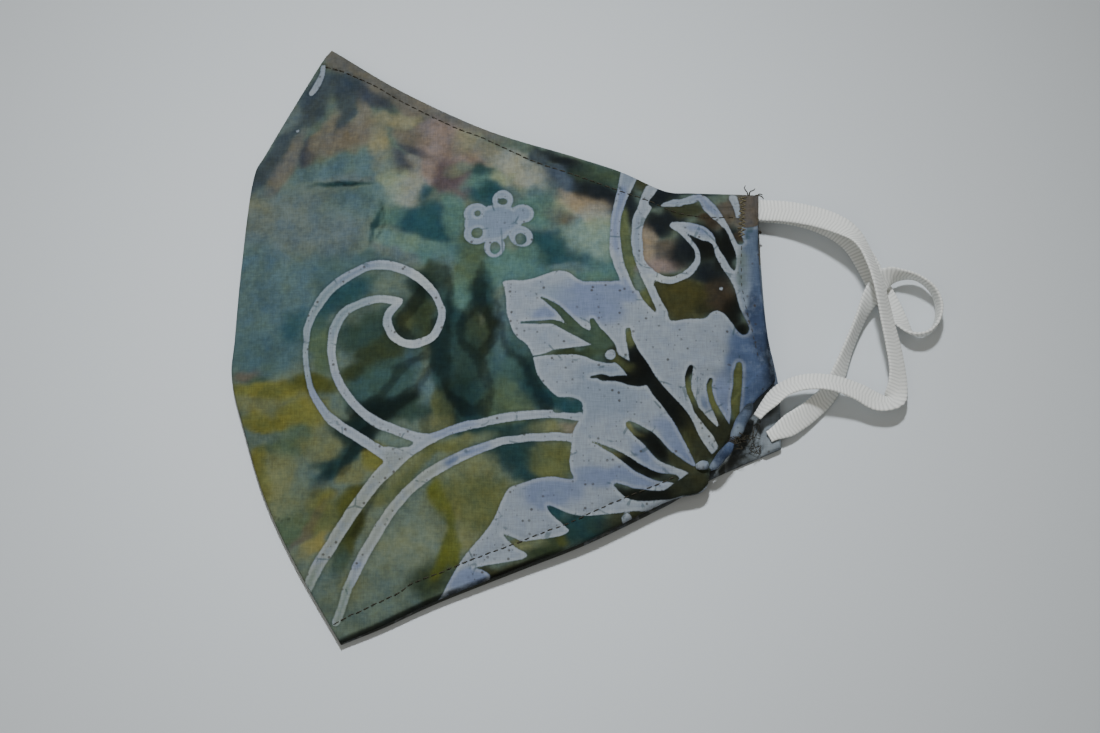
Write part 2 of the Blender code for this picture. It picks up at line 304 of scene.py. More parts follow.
def elasticBand(name, node, route):
    rows = np.array([(p.x, p.y, p.z, math.radians(p.lean)) for p in route])
    inward = (rows[0] - rows[1]) / np.linalg.norm(rows[0, :3] - rows[1, :3])
    run = smoothRun(np.vstack([rows[0] + inward * elasticSet["tucked"], rows]))
    length = runLength(run)
    rings = round(length / elasticSet["step"])
    centres = evenRun(run, rings)
    along = np.linspace(0.0, length, rings + 1)[:, None]
    forward = np.gradient(centres[:, :3], axis=0)
    forward /= np.linalg.norm(forward, axis=1, keepdims=True)
    right = np.cross(forward, (0.0, 0.0, 1.0))
    right /= np.linalg.norm(right, axis=1, keepdims=True)
    above = np.cross(right, forward)
    lean = centres[:, 3:4]
    widthWay = right * np.cos(lean) + above * np.sin(lean)
    wallWay = above * np.cos(lean) - right * np.sin(lean)

    turn = np.linspace(0.0, 2 * math.pi, elasticSet["sides"], endpoint=False)[None, :]
    sideways, upright = np.cos(turn), np.sin(turn)
    across = np.sign(sideways) * np.abs(sideways) ** elasticSet["sideRound"] * elasticSet["width"] / 2
    through = np.sign(upright) * np.abs(upright) ** elasticSet["faceRound"] * elasticSet["wall"] / 2
    toEnd = smoothStep((length - along) / elasticSet["pinchReach"])
    across = across * (elasticSet["pinch"] + (1.0 - elasticSet["pinch"]) * toEnd)
    # slanted ribs meet in a shallow point along the middle, and the edges step in between them
    phase = along / elasticSet["ribPitch"] + np.abs(across) * elasticSet["chevron"]
    rib = np.abs(np.sin(math.pi * phase))
    edgeFrom = elasticSet["edgeFrom"]
    edge = smoothStep((np.abs(across) / (elasticSet["width"] / 2) - edgeFrom) / (1.0 - edgeFrom))
    across = across - np.sign(across) * edge * elasticSet["edgeBite"] * (1.0 - rib)
    depth = elasticSet["ribDepth"] * (1.0 - rib) * (1.0 - elasticSet["edgeRib"] * edge)
    through = through - np.sign(through) * depth

    points = (centres[:, None, :3]
              + widthWay[:, None, :] * across[:, :, None]
              + wallWay[:, None, :] * through[:, :, None]).reshape(-1, 3) * mm
    sides = elasticSet["sides"]
    faces = [tuple(range(sides))]
    for ring in range(rings):
        for side in range(sides):
            start = ring * sides + side
            turned = ring * sides + (side + 1) % sides
            faces.append((start, start + sides, turned + sides, turned))
    faces.append(tuple(len(points) - 1 - side for side in range(sides)))
    piece = meshPiece(name, points, faces)
    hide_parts(node)
    giveAttribute(piece, "rib", rib.ravel())
    giveAttribute(piece, "aside", (across / elasticSet["width"] + np.zeros_like(along)).ravel())
    giveAttribute(piece, "along", (along + np.zeros_like(across)).ravel())
    print(name, "is", round(length, 1), "mm long")
    return piece


leftBand = elasticBand("leftLoopBand", "left_ear_loop", leftLoopRoute)
rightBand = elasticBand("rightLoopBand", "right_ear_loop", rightLoopRoute)


# elastic's material, with painted shade in the grooves between its ribs
elasticLook = {
    "colour": (0.80, 0.815, 0.80),
    "grooveShade": (0.52, 0.535, 0.53),
    "roughness": 0.82,
    "specular": 0.25,
}

elastic, tree, shader = newMaterial("whiteElastic", elasticLook["roughness"], elasticLook["specular"])
# painted shade: the colour is darker in the grooves between the ribs
ribMask = attributeNode(tree, "rib", "Fac")
ribShadeColour = mixColour(tree, ribMask, (*elasticLook["grooveShade"], 1.0), (*elasticLook["colour"], 1.0))
tree.links.new(ribShadeColour, shader.inputs["Base Color"])
for band in (leftBand, rightBand):
    band.data.materials.append(elastic)


# the two halves of the body
EdgePoint = namedtuple("EdgePoint", "across up")
Gather = namedtuple("Gather", "heading reach rise")
Pool = namedtuple("Pool", "dye x y along aside turn strength")
Oval = namedtuple("Oval", "part x y along aside turn")
Crease = namedtuple("Crease", "part soft dark rows")

clothSet = {
    "seamHeight": 150.8,   # mm, straight up the centre seam
    "halfWidth": 131.1,
    "middle": (65.56, 75.4),
    "wall": 1.2,
    "clearance": 0.3,
    "domeRise": 4.4,       # how far the upper half stands off the lower one
    "domeRound": 0.8,
    "sideGape": 4.9,
    "topGape": 3.0,
    "chinGape": 0.6,
    "chinPeep": 0.15,       # how far the lower half's chin hem shows below the upper half
    "chinOut": (0.40, -0.92),   # the way out of the chin edge
    "peepFrom": 0.14,      # shares across where it has come out, starts to end, and how fast it ends
    "peepTo": 0.62,
    "peepFade": 0.4,
    "peepPower": 6,
    "sideSetback": 1.4,
    "setbackShare": 0.6,   # share of it by which the ear hem's lines follow
    "hemWidth": 4.4,
    "hemWall": 1.0,
    "cornerIn": 1.2,       # the upper half's pulled chin corner
    "cornerUp": 15.8,
    "gatherSpread": 1.6,
    "columns": 230,
    "rows": 276,
    "lowerColumns": 140,
    "lowerRows": 160,
    "edgePoints": 360,
    "rimSteps": (0.14, 0.34, 0.62),
    "meanWidth": 0.93,     # a half's average sizes as shares of halfWidth and seamHeight
    "meanHeight": 0.8,
}
hemLook = {
    "nose": 4.2,           # mm from each edge to its stitch line
    "chin": 3.9,
    "ear": 4.6,
    "plateau": 0.26,       # how far a turned hem stands up
    "plateauEdge": 0.7,
    "plateauPast": 0.25,
    "groove": 0.30,        # how far its stitch line sinks
    "grooveWidth": 0.42,
    "pucker": 0.65,        # share of the groove that comes and goes from stitch to stitch
    "ripple": 0.05,
    "rippleWidth": 2.2,
    "stitch": 1.95,
    "fade": 0.9,           # mm from the rim where the relief begins
    "step": 0.5,           # mm that the ear hem's inner step takes
}
# soft hills over the cloth: how high, how wide and their seed
clothHills = [(0.16, 17.0, 31), (0.05, 5.0, 32)]

# stitch lines of the left half's hems, as x, y in mm
noseStitchLine = [
    (-45.6, 70.6), (-41.6, 69.1), (-37.5, 67.0), (-32.1, 64.0), (-27.0, 60.5), (-21.5, 57.2),
    (-16.4, 54.3), (-11.5, 51.7), (-6.5, 49.7), (-1.5, 47.1), (7.3, 42.6), (16.9, 39.0), (27.3, 34.9),
    (34.8, 32.2), (38.7, 30.2), (42.3, 28.8), (48.3, 27.7), (55.6, 27.8),
]
chinStitchLine = [
    (-39.2, -71.0), (-36.2, -69.3), (-32.6, -67.7), (-28.5, -65.7), (-24.6, -63.9), (-20.9, -61.4),
    (-17.2, -60.0), (-13.6, -58.6), (-10.1, -57.1), (-3.6, -54.6), (3.3, -52.1), (9.6, -49.6),
    (15.4, -47.5), (22.4, -44.2), (28.4, -41.6), (34.8, -39.0), (40.4, -36.6),
]
earStitchLine = [(56.8, 19.6), (56.5, 14.0), (56.6, 8.6), (57.8, 1.8), (59.2, -4.0), (60.2, -8.6)]

# shares of halfWidth and seamHeight, from the flat pattern
seamEdge = [
    EdgePoint(0.214, 0.000), EdgePoint(0.131, 0.121), EdgePoint(0.069, 0.231), EdgePoint(0.026, 0.343),
    EdgePoint(0.001, 0.424), EdgePoint(0.003, 0.492), EdgePoint(0.009, 0.614), EdgePoint(0.023, 0.762),
    EdgePoint(0.050, 0.820), EdgePoint(0.139, 0.969), EdgePoint(0.163, 1.000),
]
noseEdge = [
    EdgePoint(0.163, 1.000), EdgePoint(0.299, 0.919), EdgePoint(0.464, 0.843), EdgePoint(0.623, 0.795),
    EdgePoint(0.714, 0.767), EdgePoint(0.795, 0.734), EdgePoint(0.850, 0.731), EdgePoint(0.971, 0.731),
]
earEdge = [
    EdgePoint(1.000, 0.311), EdgePoint(0.999, 0.410), EdgePoint(0.982, 0.500), EdgePoint(0.975, 0.600),
    EdgePoint(0.971, 0.731),
]
chinEdge = [
    EdgePoint(0.214, 0.000), EdgePoint(0.285, 0.026), EdgePoint(0.385, 0.067), EdgePoint(0.526, 0.116),
    EdgePoint(0.653, 0.160), EdgePoint(0.790, 0.219),
]
lowerChinEnd = [EdgePoint(0.878, 0.264)]
upperChinEnd = [
    EdgePoint(0.856, 0.236), EdgePoint(0.872, 0.274), EdgePoint(0.905, 0.318), EdgePoint(0.938, 0.366),
]
gathers = [
    Gather(118.0, 0.20, 0.60), Gather(146.0, 0.26, 0.75),
    Gather(172.0, 0.24, 0.65), Gather(199.0, 0.18, 0.55),
]


def patternPlaces(rows):
    return [(row.across * clothSet["halfWidth"], row.up * clothSet["seamHeight"]) for row in rows]


def edgeLine(places):
    line = evenRun(smoothRun(places), clothSet["edgePoints"], axes=2)
    return line - np.array(clothSet["middle"])


def halfEdges(upper):
    corner = np.array(patternPlaces(earEdge[:1])[0])
    chinEnd = lowerChinEnd
    if upper:
        corner = corner + (-clothSet["cornerIn"], clothSet["cornerUp"])
        chinEnd = upperChinEnd
    earPlaces = patternPlaces(earEdge[1:])
    if upper:
        earPlaces = [p for p in earPlaces if p[1] > corner[1] + clothSet["hemWidth"]]
    return {
        "upper": upper,
        "chin": edgeLine(patternPlaces(chinEdge + chinEnd) + [tuple(corner)]),
        "ear": edgeLine([tuple(corner)] + earPlaces),
        "seam": edgeLine(patternPlaces(seamEdge)),
        "nose": edgeLine(patternPlaces(noseEdge)),
    }


def lineAt(line, shares):
    place = np.asarray(shares) * (len(line) - 1)
    index = np.minimum(place.astype(int), len(line) - 2)
    part = (place - index)[..., None]
    return line[index] * (1 - part) + line[index + 1] * part


def levelPlaces(half, across, up):
    # a patch blended from its four edges
    a, u = across[..., None], up[..., None]
    sides = lineAt(half["seam"], up) * (1 - a) + lineAt(half["ear"], up) * a
    ends = lineAt(half["chin"], across) * (1 - u) + lineAt(half["nose"], across) * u
    chinLine = half["seam"][0] * (1 - a) + half["ear"][0] * a
    noseLine = half["seam"][-1] * (1 - a) + half["ear"][-1] * a
    place = sides + ends - (chinLine * (1 - u) + noseLine * u)
    if half["upper"]:
        place[..., 0] -= clothSet["sideSetback"] * across * np.sin(math.pi * up)
    return place


def gatherRise(half, place):
    arm = place - half["ear"][0]
    distance = np.linalg.norm(arm, axis=-1)
    rise = np.zeros(distance.shape)
    for fold in gathers:
        heading = math.radians(fold.heading)
        along = arm[..., 0] * math.cos(heading) + arm[..., 1] * math.sin(heading)
        aside = arm[..., 1] * math.cos(heading) - arm[..., 0] * math.sin(heading)
        fade = smoothStep(1.0 - distance / (fold.reach * clothSet["halfWidth"]))
        fade = fade * smoothStep(along / clothSet["hemWidth"])
        rise += fold.rise * clothSet["wall"] * fade * np.exp(-((aside / clothSet["gatherSpread"]) ** 2))
    return rise


def underHeights(half, across, up, place):
    # the cloth's lower face over the floor
    if not half["upper"]:
        return np.zeros(across.shape)
    width = np.linalg.norm(lineAt(half["ear"], up) - lineAt(half["seam"], up), axis=-1)
    hemLine = 1.0 - clothSet["hemWidth"] / width
    middle = np.clip(np.sin(math.pi * across), 0.0, 1.0) ** clothSet["domeRound"]
    height = np.clip(np.sin(math.pi * up), 0.0, 1.0)
    lift = 2 * (clothSet["hemWall"] + clothSet["clearance"]) * smoothStep(across / hemLine)
    lift += clothSet["domeRise"] * middle * height
    lift += clothSet["sideGape"] * across**2 * height ** clothSet["domeRound"]
    lift += clothSet["topGape"] * middle * up**3
    lift += clothSet["chinGape"] * middle * (1.0 - up) ** 3
    return clothSet["wall"] + clothSet["clearance"] + lift + gatherRise(half, place)


def softNoise(places, size, seed):
    # smooth random hills, -1 to 1, that are size mm across
    table = np.random.RandomState(seed).uniform(-1.0, 1.0, (64, 64))
    cell = places / size
    low = np.floor(cell).astype(int)
    part = cell - low
    part = part * part * (3.0 - 2.0 * part)
    x0, y0 = low[..., 0] % 64, low[..., 1] % 64
    x1, y1 = (x0 + 1) % 64, (y0 + 1) % 64
    px, py = part[..., 0], part[..., 1]
    near = table[y0, x0] * (1 - px) + table[y0, x1] * px
    far = table[y1, x0] * (1 - px) + table[y1, x1] * px
    return near * (1 - py) + far * py


def lineDistance(places, line, skip=4):
    # mm from each place to the nearest point of a line, and how far along the line that is
    flat = places.reshape(-1, 2)
    best = np.full(len(flat), np.inf)
    where = np.zeros(len(flat))
    along = 0.0
    for start, end in zip(line[::skip], line[skip::skip]):
        gap = end - start
        size = np.linalg.norm(gap)
        part = np.clip(((flat - start) @ gap) / size**2, 0.0, 1.0)
        off = np.linalg.norm(flat - start - part[:, None] * gap, axis=1)
        closer = off < best
        best[closer] = off[closer]
        where[closer] = along + part[closer] * size
        along += size
    return best.reshape(places.shape[:-1]), where.reshape(places.shape[:-1])


def shareSteps(count, length):
    # evenly spaced shares, with close ones where the cloth's edge is rounded
    rim = np.array(clothSet["rimSteps"]) / length
    inner = np.linspace(rim[-1], 1.0 - rim[-1], count - 2 * len(rim) + 1)
    return np.concatenate([[0.0], rim[:-1], inner, 1.0 - rim[:-1][::-1], [1.0]])


def hemRelief(edges):
    # the turned hems stand up, their stitch lines sink, and the cloth puckers along them
    relief = 0.0
    for distance, stitchIn, offLine, along in edges:
        pucker = 0.5 + 0.5 * np.cos(2 * math.pi * along / hemLook["stitch"])
        groove = np.exp(-((offLine / hemLook["grooveWidth"]) ** 2))
        groove = groove * (1.0 - hemLook["pucker"] + hemLook["pucker"] * pucker)
        plateau = smoothStep((stitchIn + hemLook["plateauPast"] - distance) / hemLook["plateauEdge"])
        ripple = np.exp(-((offLine / hemLook["rippleWidth"]) ** 2)) * pucker
        relief = relief + hemLook["plateau"] * plateau - hemLook["groove"] * groove
        relief = relief - hemLook["ripple"] * ripple
    return relief


def roundedRim(distance, radius=0.6, left=0.14):
    share = np.clip(1.0 - distance / radius, 0.0, 1.0)
    return (radius - left) * (1.0 - np.sqrt(1.0 - share**2 + 1e-9))


def closedCloth(name, over, under):
    # dense outer face, inner face with half as many points each way, and the rim between them
    rows, columns = over.shape[:2]
    thin = under[::2, ::2]
    thinRows, thinColumns = thin.shape[:2]
    points = np.vstack([over.reshape(-1, 3), thin.reshape(-1, 3)]) * mm
    first = rows * columns
    faces = []
    for row in range(rows - 1):
        for column in range(columns - 1):
            a = row * columns + column
            faces.append((a, a + 1, a + columns + 1, a + columns))
    outside = len(faces)
    for row in range(thinRows - 1):
        for column in range(thinColumns - 1):
            a = first + row * thinColumns + column
            faces.append((a + thinColumns, a + thinColumns + 1, a + 1, a))
    thinEnd = len(faces)

    def rimOf(rowCount, columnCount, start):
        rim = [start + c for c in range(columnCount)]
        rim += [start + r * columnCount + columnCount - 1 for r in range(1, rowCount)]
        rim += [start + (rowCount - 1) * columnCount + c for c in range(columnCount - 2, -1, -1)]
        rim += [start + r * columnCount for r in range(rowCount - 2, 0, -1)]
        return rim

    upperRim = rimOf(rows, columns, 0)
    lowerRim = rimOf(thinRows, thinColumns, first)
    upperRim.append(upperRim[0])
    lowerRim.append(lowerRim[0])
    for k in range(len(lowerRim) - 1):
        a, b = lowerRim[k], lowerRim[k + 1]
        p, q, r = upperRim[2 * k:2 * k + 3]
        faces.append((a, b, r, q))
        faces.append((a, q, p))
    piece = meshPiece(name, points, faces)
    kinds = np.zeros(len(faces), dtype=np.int32)
    kinds[outside:thinEnd] = 1
    return piece, kinds


def halfGrid(half, columns, rows):
    across = shareSteps(columns, clothSet["halfWidth"] * clothSet["meanWidth"])
    up = shareSteps(rows, clothSet["seamHeight"] * clothSet["meanHeight"])
    acrossGrid, upGrid = np.meshgrid(across, up)
    return acrossGrid, upGrid, levelPlaces(half, acrossGrid, upGrid)


def edgeGaps(half, place):
    # mm from each place to each edge, and mm along that edge
    shift = clothSet["sideSetback"] * clothSet["setbackShare"] if half["upper"] else 0.0
    lines = {**half, "ear": half["ear"] - (shift, 0.0)}
    return {edge: lineDistance(place, lines[edge]) for edge in ("nose", "chin", "ear", "seam")}


def hemLayer(earGap):
    # the ear hem's turned layer of cloth
    layer = clothSet["hemWall"] + clothSet["clearance"]
    return layer * smoothStep((clothSet["hemWidth"] - earGap) / hemLook["step"])


def facePlaces(place):
    # the outer face's places and then the inner face's, in the order of closedCloth's points
    return np.vstack([place.reshape(-1, 2), place[::2, ::2].reshape(-1, 2)])


upperHalf = halfEdges(True)
lowerHalf = halfEdges(False)


# dyes and wax print

farOff = 5.0    # mm beyond which a distance to the wax's edge isn't told apart
tiny = 1e-9


def placesNear(places, run):
    low, high = run[:, :2].min(axis=0) - farOff, run[:, :2].max(axis=0) + farOff
    return np.flatnonzero(((places > low) & (places < high)).all(axis=1))


def strokeInside(places, rows):
    # mm inside a brush stroke whose rows are x, y, width: below 0 outside it
    run = smoothRun(rows, steps=6)
    found = np.full(len(places), -farOff)
    near = placesNear(places, run)
    spots = places[near]
    best = np.full(len(spots), -farOff)
    for start, end in zip(run, run[1:]):
        gap = end[:2] - start[:2]
        part = np.clip(((spots - start[:2]) @ gap) / max(gap @ gap, tiny), 0.0, 1.0)
        off = spots - start[:2] - part[:, None] * gap
        half = (start[2] + (end[2] - start[2]) * part) / 2
        best = np.maximum(best, half - np.sqrt((off**2).sum(axis=1)))
    found[near] = best
    return found


def outlineInside(places, rows):
    # mm inside a smooth closed outline: below 0 outside it
    run = smoothRun(rows, steps=4, closed=True)
    run = np.vstack([run, run[:1]])
    found = np.full(len(places), -farOff)
    near = placesNear(places, run)
    spots = places[near]
    best = np.full(len(spots), np.inf)
    inside = np.zeros(len(spots), dtype=bool)
    for start, end in zip(run, run[1:]):
        gap = end - start
        part = np.clip(((spots - start) @ gap) / max(gap @ gap, tiny), 0.0, 1.0)
        off = spots - start - part[:, None] * gap
        best = np.minimum(best, (off**2).sum(axis=1))
        crosses = (start[1] > spots[:, 1]) != (end[1] > spots[:, 1])
        rise = gap[1] if abs(gap[1]) > tiny else tiny
        inside ^= crosses & (spots[:, 0] < gap[0] * (spots[:, 1] - start[1]) / rise + start[0])
    found[near] = np.sqrt(best) * np.where(inside, 1.0, -1.0)
    return np.clip(found, -farOff, farOff)


def ovalShares(places, oval):
    # distance from an oval's middle as a share of its radius
    turn = math.radians(oval.turn)
    arm = places - (oval.x, oval.y)
    along = (arm[:, 0] * math.cos(turn) + arm[:, 1] * math.sin(turn)) / oval.along
    aside = (arm[:, 1] * math.cos(turn) - arm[:, 0] * math.sin(turn)) / oval.aside
    return np.sqrt(along**2 + aside**2)


def ovalInside(places, oval):
    return np.clip((1.0 - ovalShares(places, oval)) * min(oval.along, oval.aside), -farOff, farOff)


def swayed(places, sways):
    # places moved about by soft noise
    moved = places
    for size, seedX, seedY, reach in sways:
        sway = np.column_stack([softNoise(places, size, seedX), softNoise(places, size, seedY)])
        moved = moved + sway * reach
    return moved


def insideAny(spots, strokes, outlines, ovals):
    found = np.full(len(spots), -farOff)
    for inside, shapes in ((strokeInside, strokes), (outlineInside, outlines), (ovalInside, ovals)):
        for shape in shapes:
            found = np.maximum(found, inside(spots, shape))
    return found


# how soft noise moves the print about: its size in mm, two seeds, and its reach in mm
waxSways = [(3.0, 11, 12, 0.18)]
poolSways = [(8.0, 21, 22, 1.7), (2.2, 23, 24, 0.8)]
creaseSways = [(3.2, 41, 42, 0.7), (1.1, 43, 44, 0.35)]


def waxField(places):
    # mm inside the waxed, undyed ornament
    spots = swayed(places, waxSways)
    wax = insideAny(spots, waxStrokes.values(), waxOutlines.values(), petals)
    cut = insideAny(spots, dyeStrokes.values(), dyeOutlines.values(), petalHoles)
    return np.maximum(np.minimum(wax, -cut), insideAny(spots, (), (), waxDots))


def poolColours(places, pools, ground, spread=1.15, groundWeight=0.05):
    # every pool's dye, blended by how near its middle a place lies
    spots = swayed(places, poolSways)
    weight = np.full((len(spots), 1), groundWeight)
    colour = weight * dyes[ground]
    for pool in pools:
        closeness = pool.strength * np.exp(-spread * ovalShares(spots, pool) ** 3)[:, None]
        weight = weight + closeness
        colour = colour + closeness * dyes[pool.dye]
    return colour / weight


def creaseShade(places, darkest=0.5):
    # share of light left where dye ran dark into the crumpled cloth's creases
    spots = swayed(places, creaseSways)
    shade = np.ones(len(places))
    for crease in creases:
        depth = strokeInside(spots, crease.rows) + crease.soft
        shade *= 1.0 - crease.dark * smoothStep(depth / (2.0 * crease.soft))
    return np.maximum(shade, darkest)


def printCloth(piece, places):
    giveAttribute(piece, "wax", waxField(places))
    dyed = poolColours(places, dyePools, "greyGreen") * creaseShade(places)[:, None]
    giveColour(piece, "dye", dyed)
    giveColour(piece, "waxDye", poolColours(places, waxPools, "paleWax"))


def paintShadeOnCloth(piece, shares):
    # painted shade: each point's dye and wax dye are darkened by a share where shade falls, along the ear
    # and chin edges, between the halves and in the corner; along the chin the share also gives the hem's
    # darker cloth
    for name in ("dye", "waxDye"):
        layer = piece.data.attributes[name]
        colours = np.empty(len(layer.data) * 4, dtype=np.float32)
        layer.data.foreach_get("color", colours)
        colours = colours.reshape(-1, 4)
        colours[:, :3] *= np.asarray(shares, dtype=np.float32)[:, None]
        layer.data.foreach_set("color", colours.ravel())


# every dye as it shows under the studio light, and the share of that light that reaches the cloth
lightOnCloth = 1.08
dyes = {
    "taupe": (92, 90, 84), "dun": (98, 92, 82), "slate": (55, 64, 71), "violetShade": (60, 62, 70),
    "greyTeal": (87, 99, 100), "ochreGrey": (108, 104, 92), "straw": (118, 116, 94),
    "rose": (120, 106, 100), "plum": (80, 68, 72), "mist": (112, 112, 106), "chalk": (127, 130, 120),
    "lime": (118, 128, 106), "deepTeal": (33, 65, 72), "tealGrey": (76, 97, 101),
    "inkTeal": (28, 54, 56), "mistTeal": (104, 124, 118), "sage": (104, 108, 92),
    "seaGreen": (76, 106, 98), "seaGlass": (89, 112, 103), "teal": (72, 102, 98),
    "slateTeal": (62, 84, 88), "moss": (70, 86, 66), "pine": (38, 57, 51), "greyGreen": (84, 98, 90),
    "deepMoss": (44, 54, 34), "mustardDark": (68, 72, 30), "ink": (18, 36, 34), "olive": (84, 90, 56),
    "umberGrey": (82, 76, 68), "oliveGrey": (94, 102, 78), "mistGrey": (110, 110, 98),
    "slateViolet": (62, 72, 84), "night": (20, 25, 31), "peach": (132, 118, 98),
    "deepOlive": (50, 52, 34), "khaki": (99, 103, 73), "mustard": (98, 98, 46), "ochre": (110, 104, 58),
    "greyMoss": (98, 108, 92), "fernGreen": (58, 74, 60), "blackBrown": (9, 10, 9),
    "oliveDark": (40, 42, 28), "umber": (54, 44, 32), "paleWax": (127, 136, 146),
    "waxBlue": (100, 112, 138), "waxSlate": (112, 124, 138), "denim": (66, 82, 112),
    "navy": (33, 44, 66), "chalkWax": (143, 150, 153), "waxStain": (108, 120, 138),
    "tabBrown": (84, 78, 72), "stemEnd": (100, 113, 104), "fleck": (56, 51, 43),
    "backCloth": (120, 126, 124), "pineTeal": (50, 74, 72), "isletBrown": (48, 57, 40),
    "scrollOlive": (78, 88, 62), "mustardOlive": (56, 55, 29), "denimGrey": (74, 88, 108),
    "tubeBlue": (66, 78, 96), "tubeDark": (40, 48, 54), "stemGrey": (120, 126, 121),
    "hookTeal": (103, 119, 127), "mossGold": (80, 86, 30), "blossomBlue": (103, 117, 134),
}
dyes = {name: linearColour(*shown) / lightOnCloth for name, shown in dyes.items()}

# the waxed ornament, in mm on the cloth: brush strokes as (x, y, width) and outlines as (x, y)
waxStrokes = {
    "hook": [
        (-27.3, -31.7, 2.6), (-31.1, -29.2, 2.6), (-34.9, -26.8, 2.5), (-38.3, -24.6, 2.4),
        (-41.5, -21.8, 2.2), (-44.2, -18.4, 1.9), (-46.1, -14.8, 1.6), (-47.0, -11.2, 1.4),
        (-47.5, -7.4, 1.4), (-47.7, -3.5, 1.5), (-47.3, 0.4, 1.9), (-45.9, 4.5, 2.3), (-43.3, 8.6, 2.6),
        (-39.8, 12.0, 2.6), (-35.8, 14.4, 2.4), (-32.2, 15.6, 2.4), (-28.8, 15.7, 2.4),
        (-24.9, 14.5, 2.4), (-21.2, 12.3, 2.4), (-18.0, 9.3, 2.1), (-15.8, 5.9, 1.9), (-15.0, 2.6, 1.9),
        (-15.7, -0.6, 2.1), (-17.3, -3.1, 2.1), (-19.7, -4.3, 2.1), (-22.3, -4.7, 2.1),
        (-24.9, -3.8, 2.1), (-27.1, -1.7, 2.1), (-28.2, 1.1, 2.1), (-27.7, 3.3, 2.1), (-26.3, 4.8, 1.9),
        (-25.1, 5.8, 1.4),
    ],
    "hookInside": [
        (-24.9, 6.3, 1.2), (-26.6, 6.6, 2.1), (-28.8, 6.9, 2.1), (-31.9, 6.8, 2.1), (-35.3, 5.9, 2.1),
        (-38.1, 4.3, 2.4), (-40.2, 1.3, 2.4), (-41.3, -2.4, 2.4), (-41.2, -6.5, 2.1),
        (-40.4, -10.5, 2.1), (-38.8, -14.5, 2.1), (-36.6, -17.7, 2.1), (-33.9, -20.7, 2.1),
        (-30.5, -23.2, 2.4), (-26.9, -25.0, 2.3), (-23.3, -26.3, 2.4), (-19.8, -27.4, 2.4),
        (-16.6, -27.8, 2.0),
    ],
    "upperStem": [
        (-46.0, -63.6, 2.4), (-43.6, -58.3, 2.8), (-40.5, -52.7, 3.1), (-36.8, -46.9, 3.1),
        (-33.2, -41.6, 3.1), (-29.5, -36.9, 3.3), (-25.8, -33.0, 3.6), (-22.6, -30.4, 3.3),
        (-19.3, -28.8, 2.8), (-15.1, -26.8, 2.1), (-10.4, -25.2, 2.1), (-5.7, -24.1, 2.1),
        (0.2, -23.0, 2.1), (6.1, -22.4, 2.1), (11.9, -22.2, 2.1), (17.8, -22.9, 2.1),
    ],
    "lowerStem": [
        (-38.6, -70.4, 2.1), (-37.1, -66.1, 2.1), (-35.6, -61.4, 2.4), (-33.3, -56.6, 2.6),
        (-30.6, -51.5, 2.6), (-27.7, -46.6, 2.6), (-24.7, -42.4, 2.6), (-21.5, -39.0, 2.4),
        (-17.8, -36.2, 2.6), (-13.6, -33.7, 2.6), (-9.4, -31.6, 2.6), (-4.7, -29.8, 2.1),
        (0.2, -28.5, 1.9), (6.1, -27.8, 1.9), (11.9, -27.6, 1.9), (17.8, -28.1, 2.1), (22.4, -28.6, 2.1),
    ],
    "scrollEdge": [
        (30.1, 39.5, 4.7), (29.0, 35.8, 3.8), (27.7, 31.6, 2.8), (26.7, 27.1, 2.4), (26.4, 22.5, 2.6),
        (26.6, 17.9, 2.8), (27.5, 13.7, 2.6), (29.1, 9.5, 2.4), (31.2, 5.3, 2.4),
    ],
    "scrollLine": [
        (35.6, 35.3, 3.3), (34.1, 31.5, 3.3), (32.5, 27.5, 3.1), (31.7, 23.3, 2.8), (31.9, 19.0, 2.8),
        (32.5, 15.2, 3.1), (33.9, 11.3, 2.8), (35.7, 6.9, 2.4), (37.8, 2.3, 2.4), (38.7, -0.2, 2.4),
    ],
    "scrollHook": [
        (33.5, 14.2, 2.4), (35.1, 12.1, 2.1), (37.5, 10.8, 1.9), (39.9, 10.5, 1.9), (42.3, 11.3, 1.9),
        (44.5, 13.1, 1.9), (46.0, 15.5, 1.4), (45.8, 18.5, 1.2), (44.4, 21.2, 1.2), (42.6, 23.4, 1.4),
        (40.7, 25.4, 1.9),
    ],
    "scrollBud": [
        (41.2, 26.0, 0.8), (43.1, 25.1, 2.4), (45.3, 24.2, 3.4), (47.5, 23.2, 3.8), (49.1, 21.7, 2.8),
        (50.3, 20.4, 1.0),
    ],
    "topSmear": [
        (36.3, 31.8, 1.9), (39.4, 31.7, 2.4), (42.4, 31.7, 2.1), (44.8, 32.3, 2.4), (47.3, 33.3, 2.1),
        (49.4, 30.7, 2.8), (51.2, 28.1, 2.6), (52.8, 25.8, 1.7), (54.1, 22.7, 1.7), (55.5, 19.4, 1.7),
        (56.3, 15.4, 1.9), (56.9, 11.2, 1.9),
    ],
    "innerSmear": [
        (50.2, 20.4, 0.9), (51.3, 17.7, 2.1), (52.9, 14.3, 2.4), (54.5, 10.9, 2.1), (55.8, 7.4, 2.1),
        (57.1, 4.1, 2.1), (58.5, 0.8, 1.9),
    ],
    "tabSmear": [
        (55.4, 33.5, 1.9), (55.5, 30.8, 2.4), (56.1, 28.2, 1.4),
    ],
    "noseSmear": [
        (-46.2, 70.8, 1.2), (-46.4, 68.3, 1.4), (-47.5, 65.5, 1.7), (-49.0, 63.3, 1.4),
    ],
}
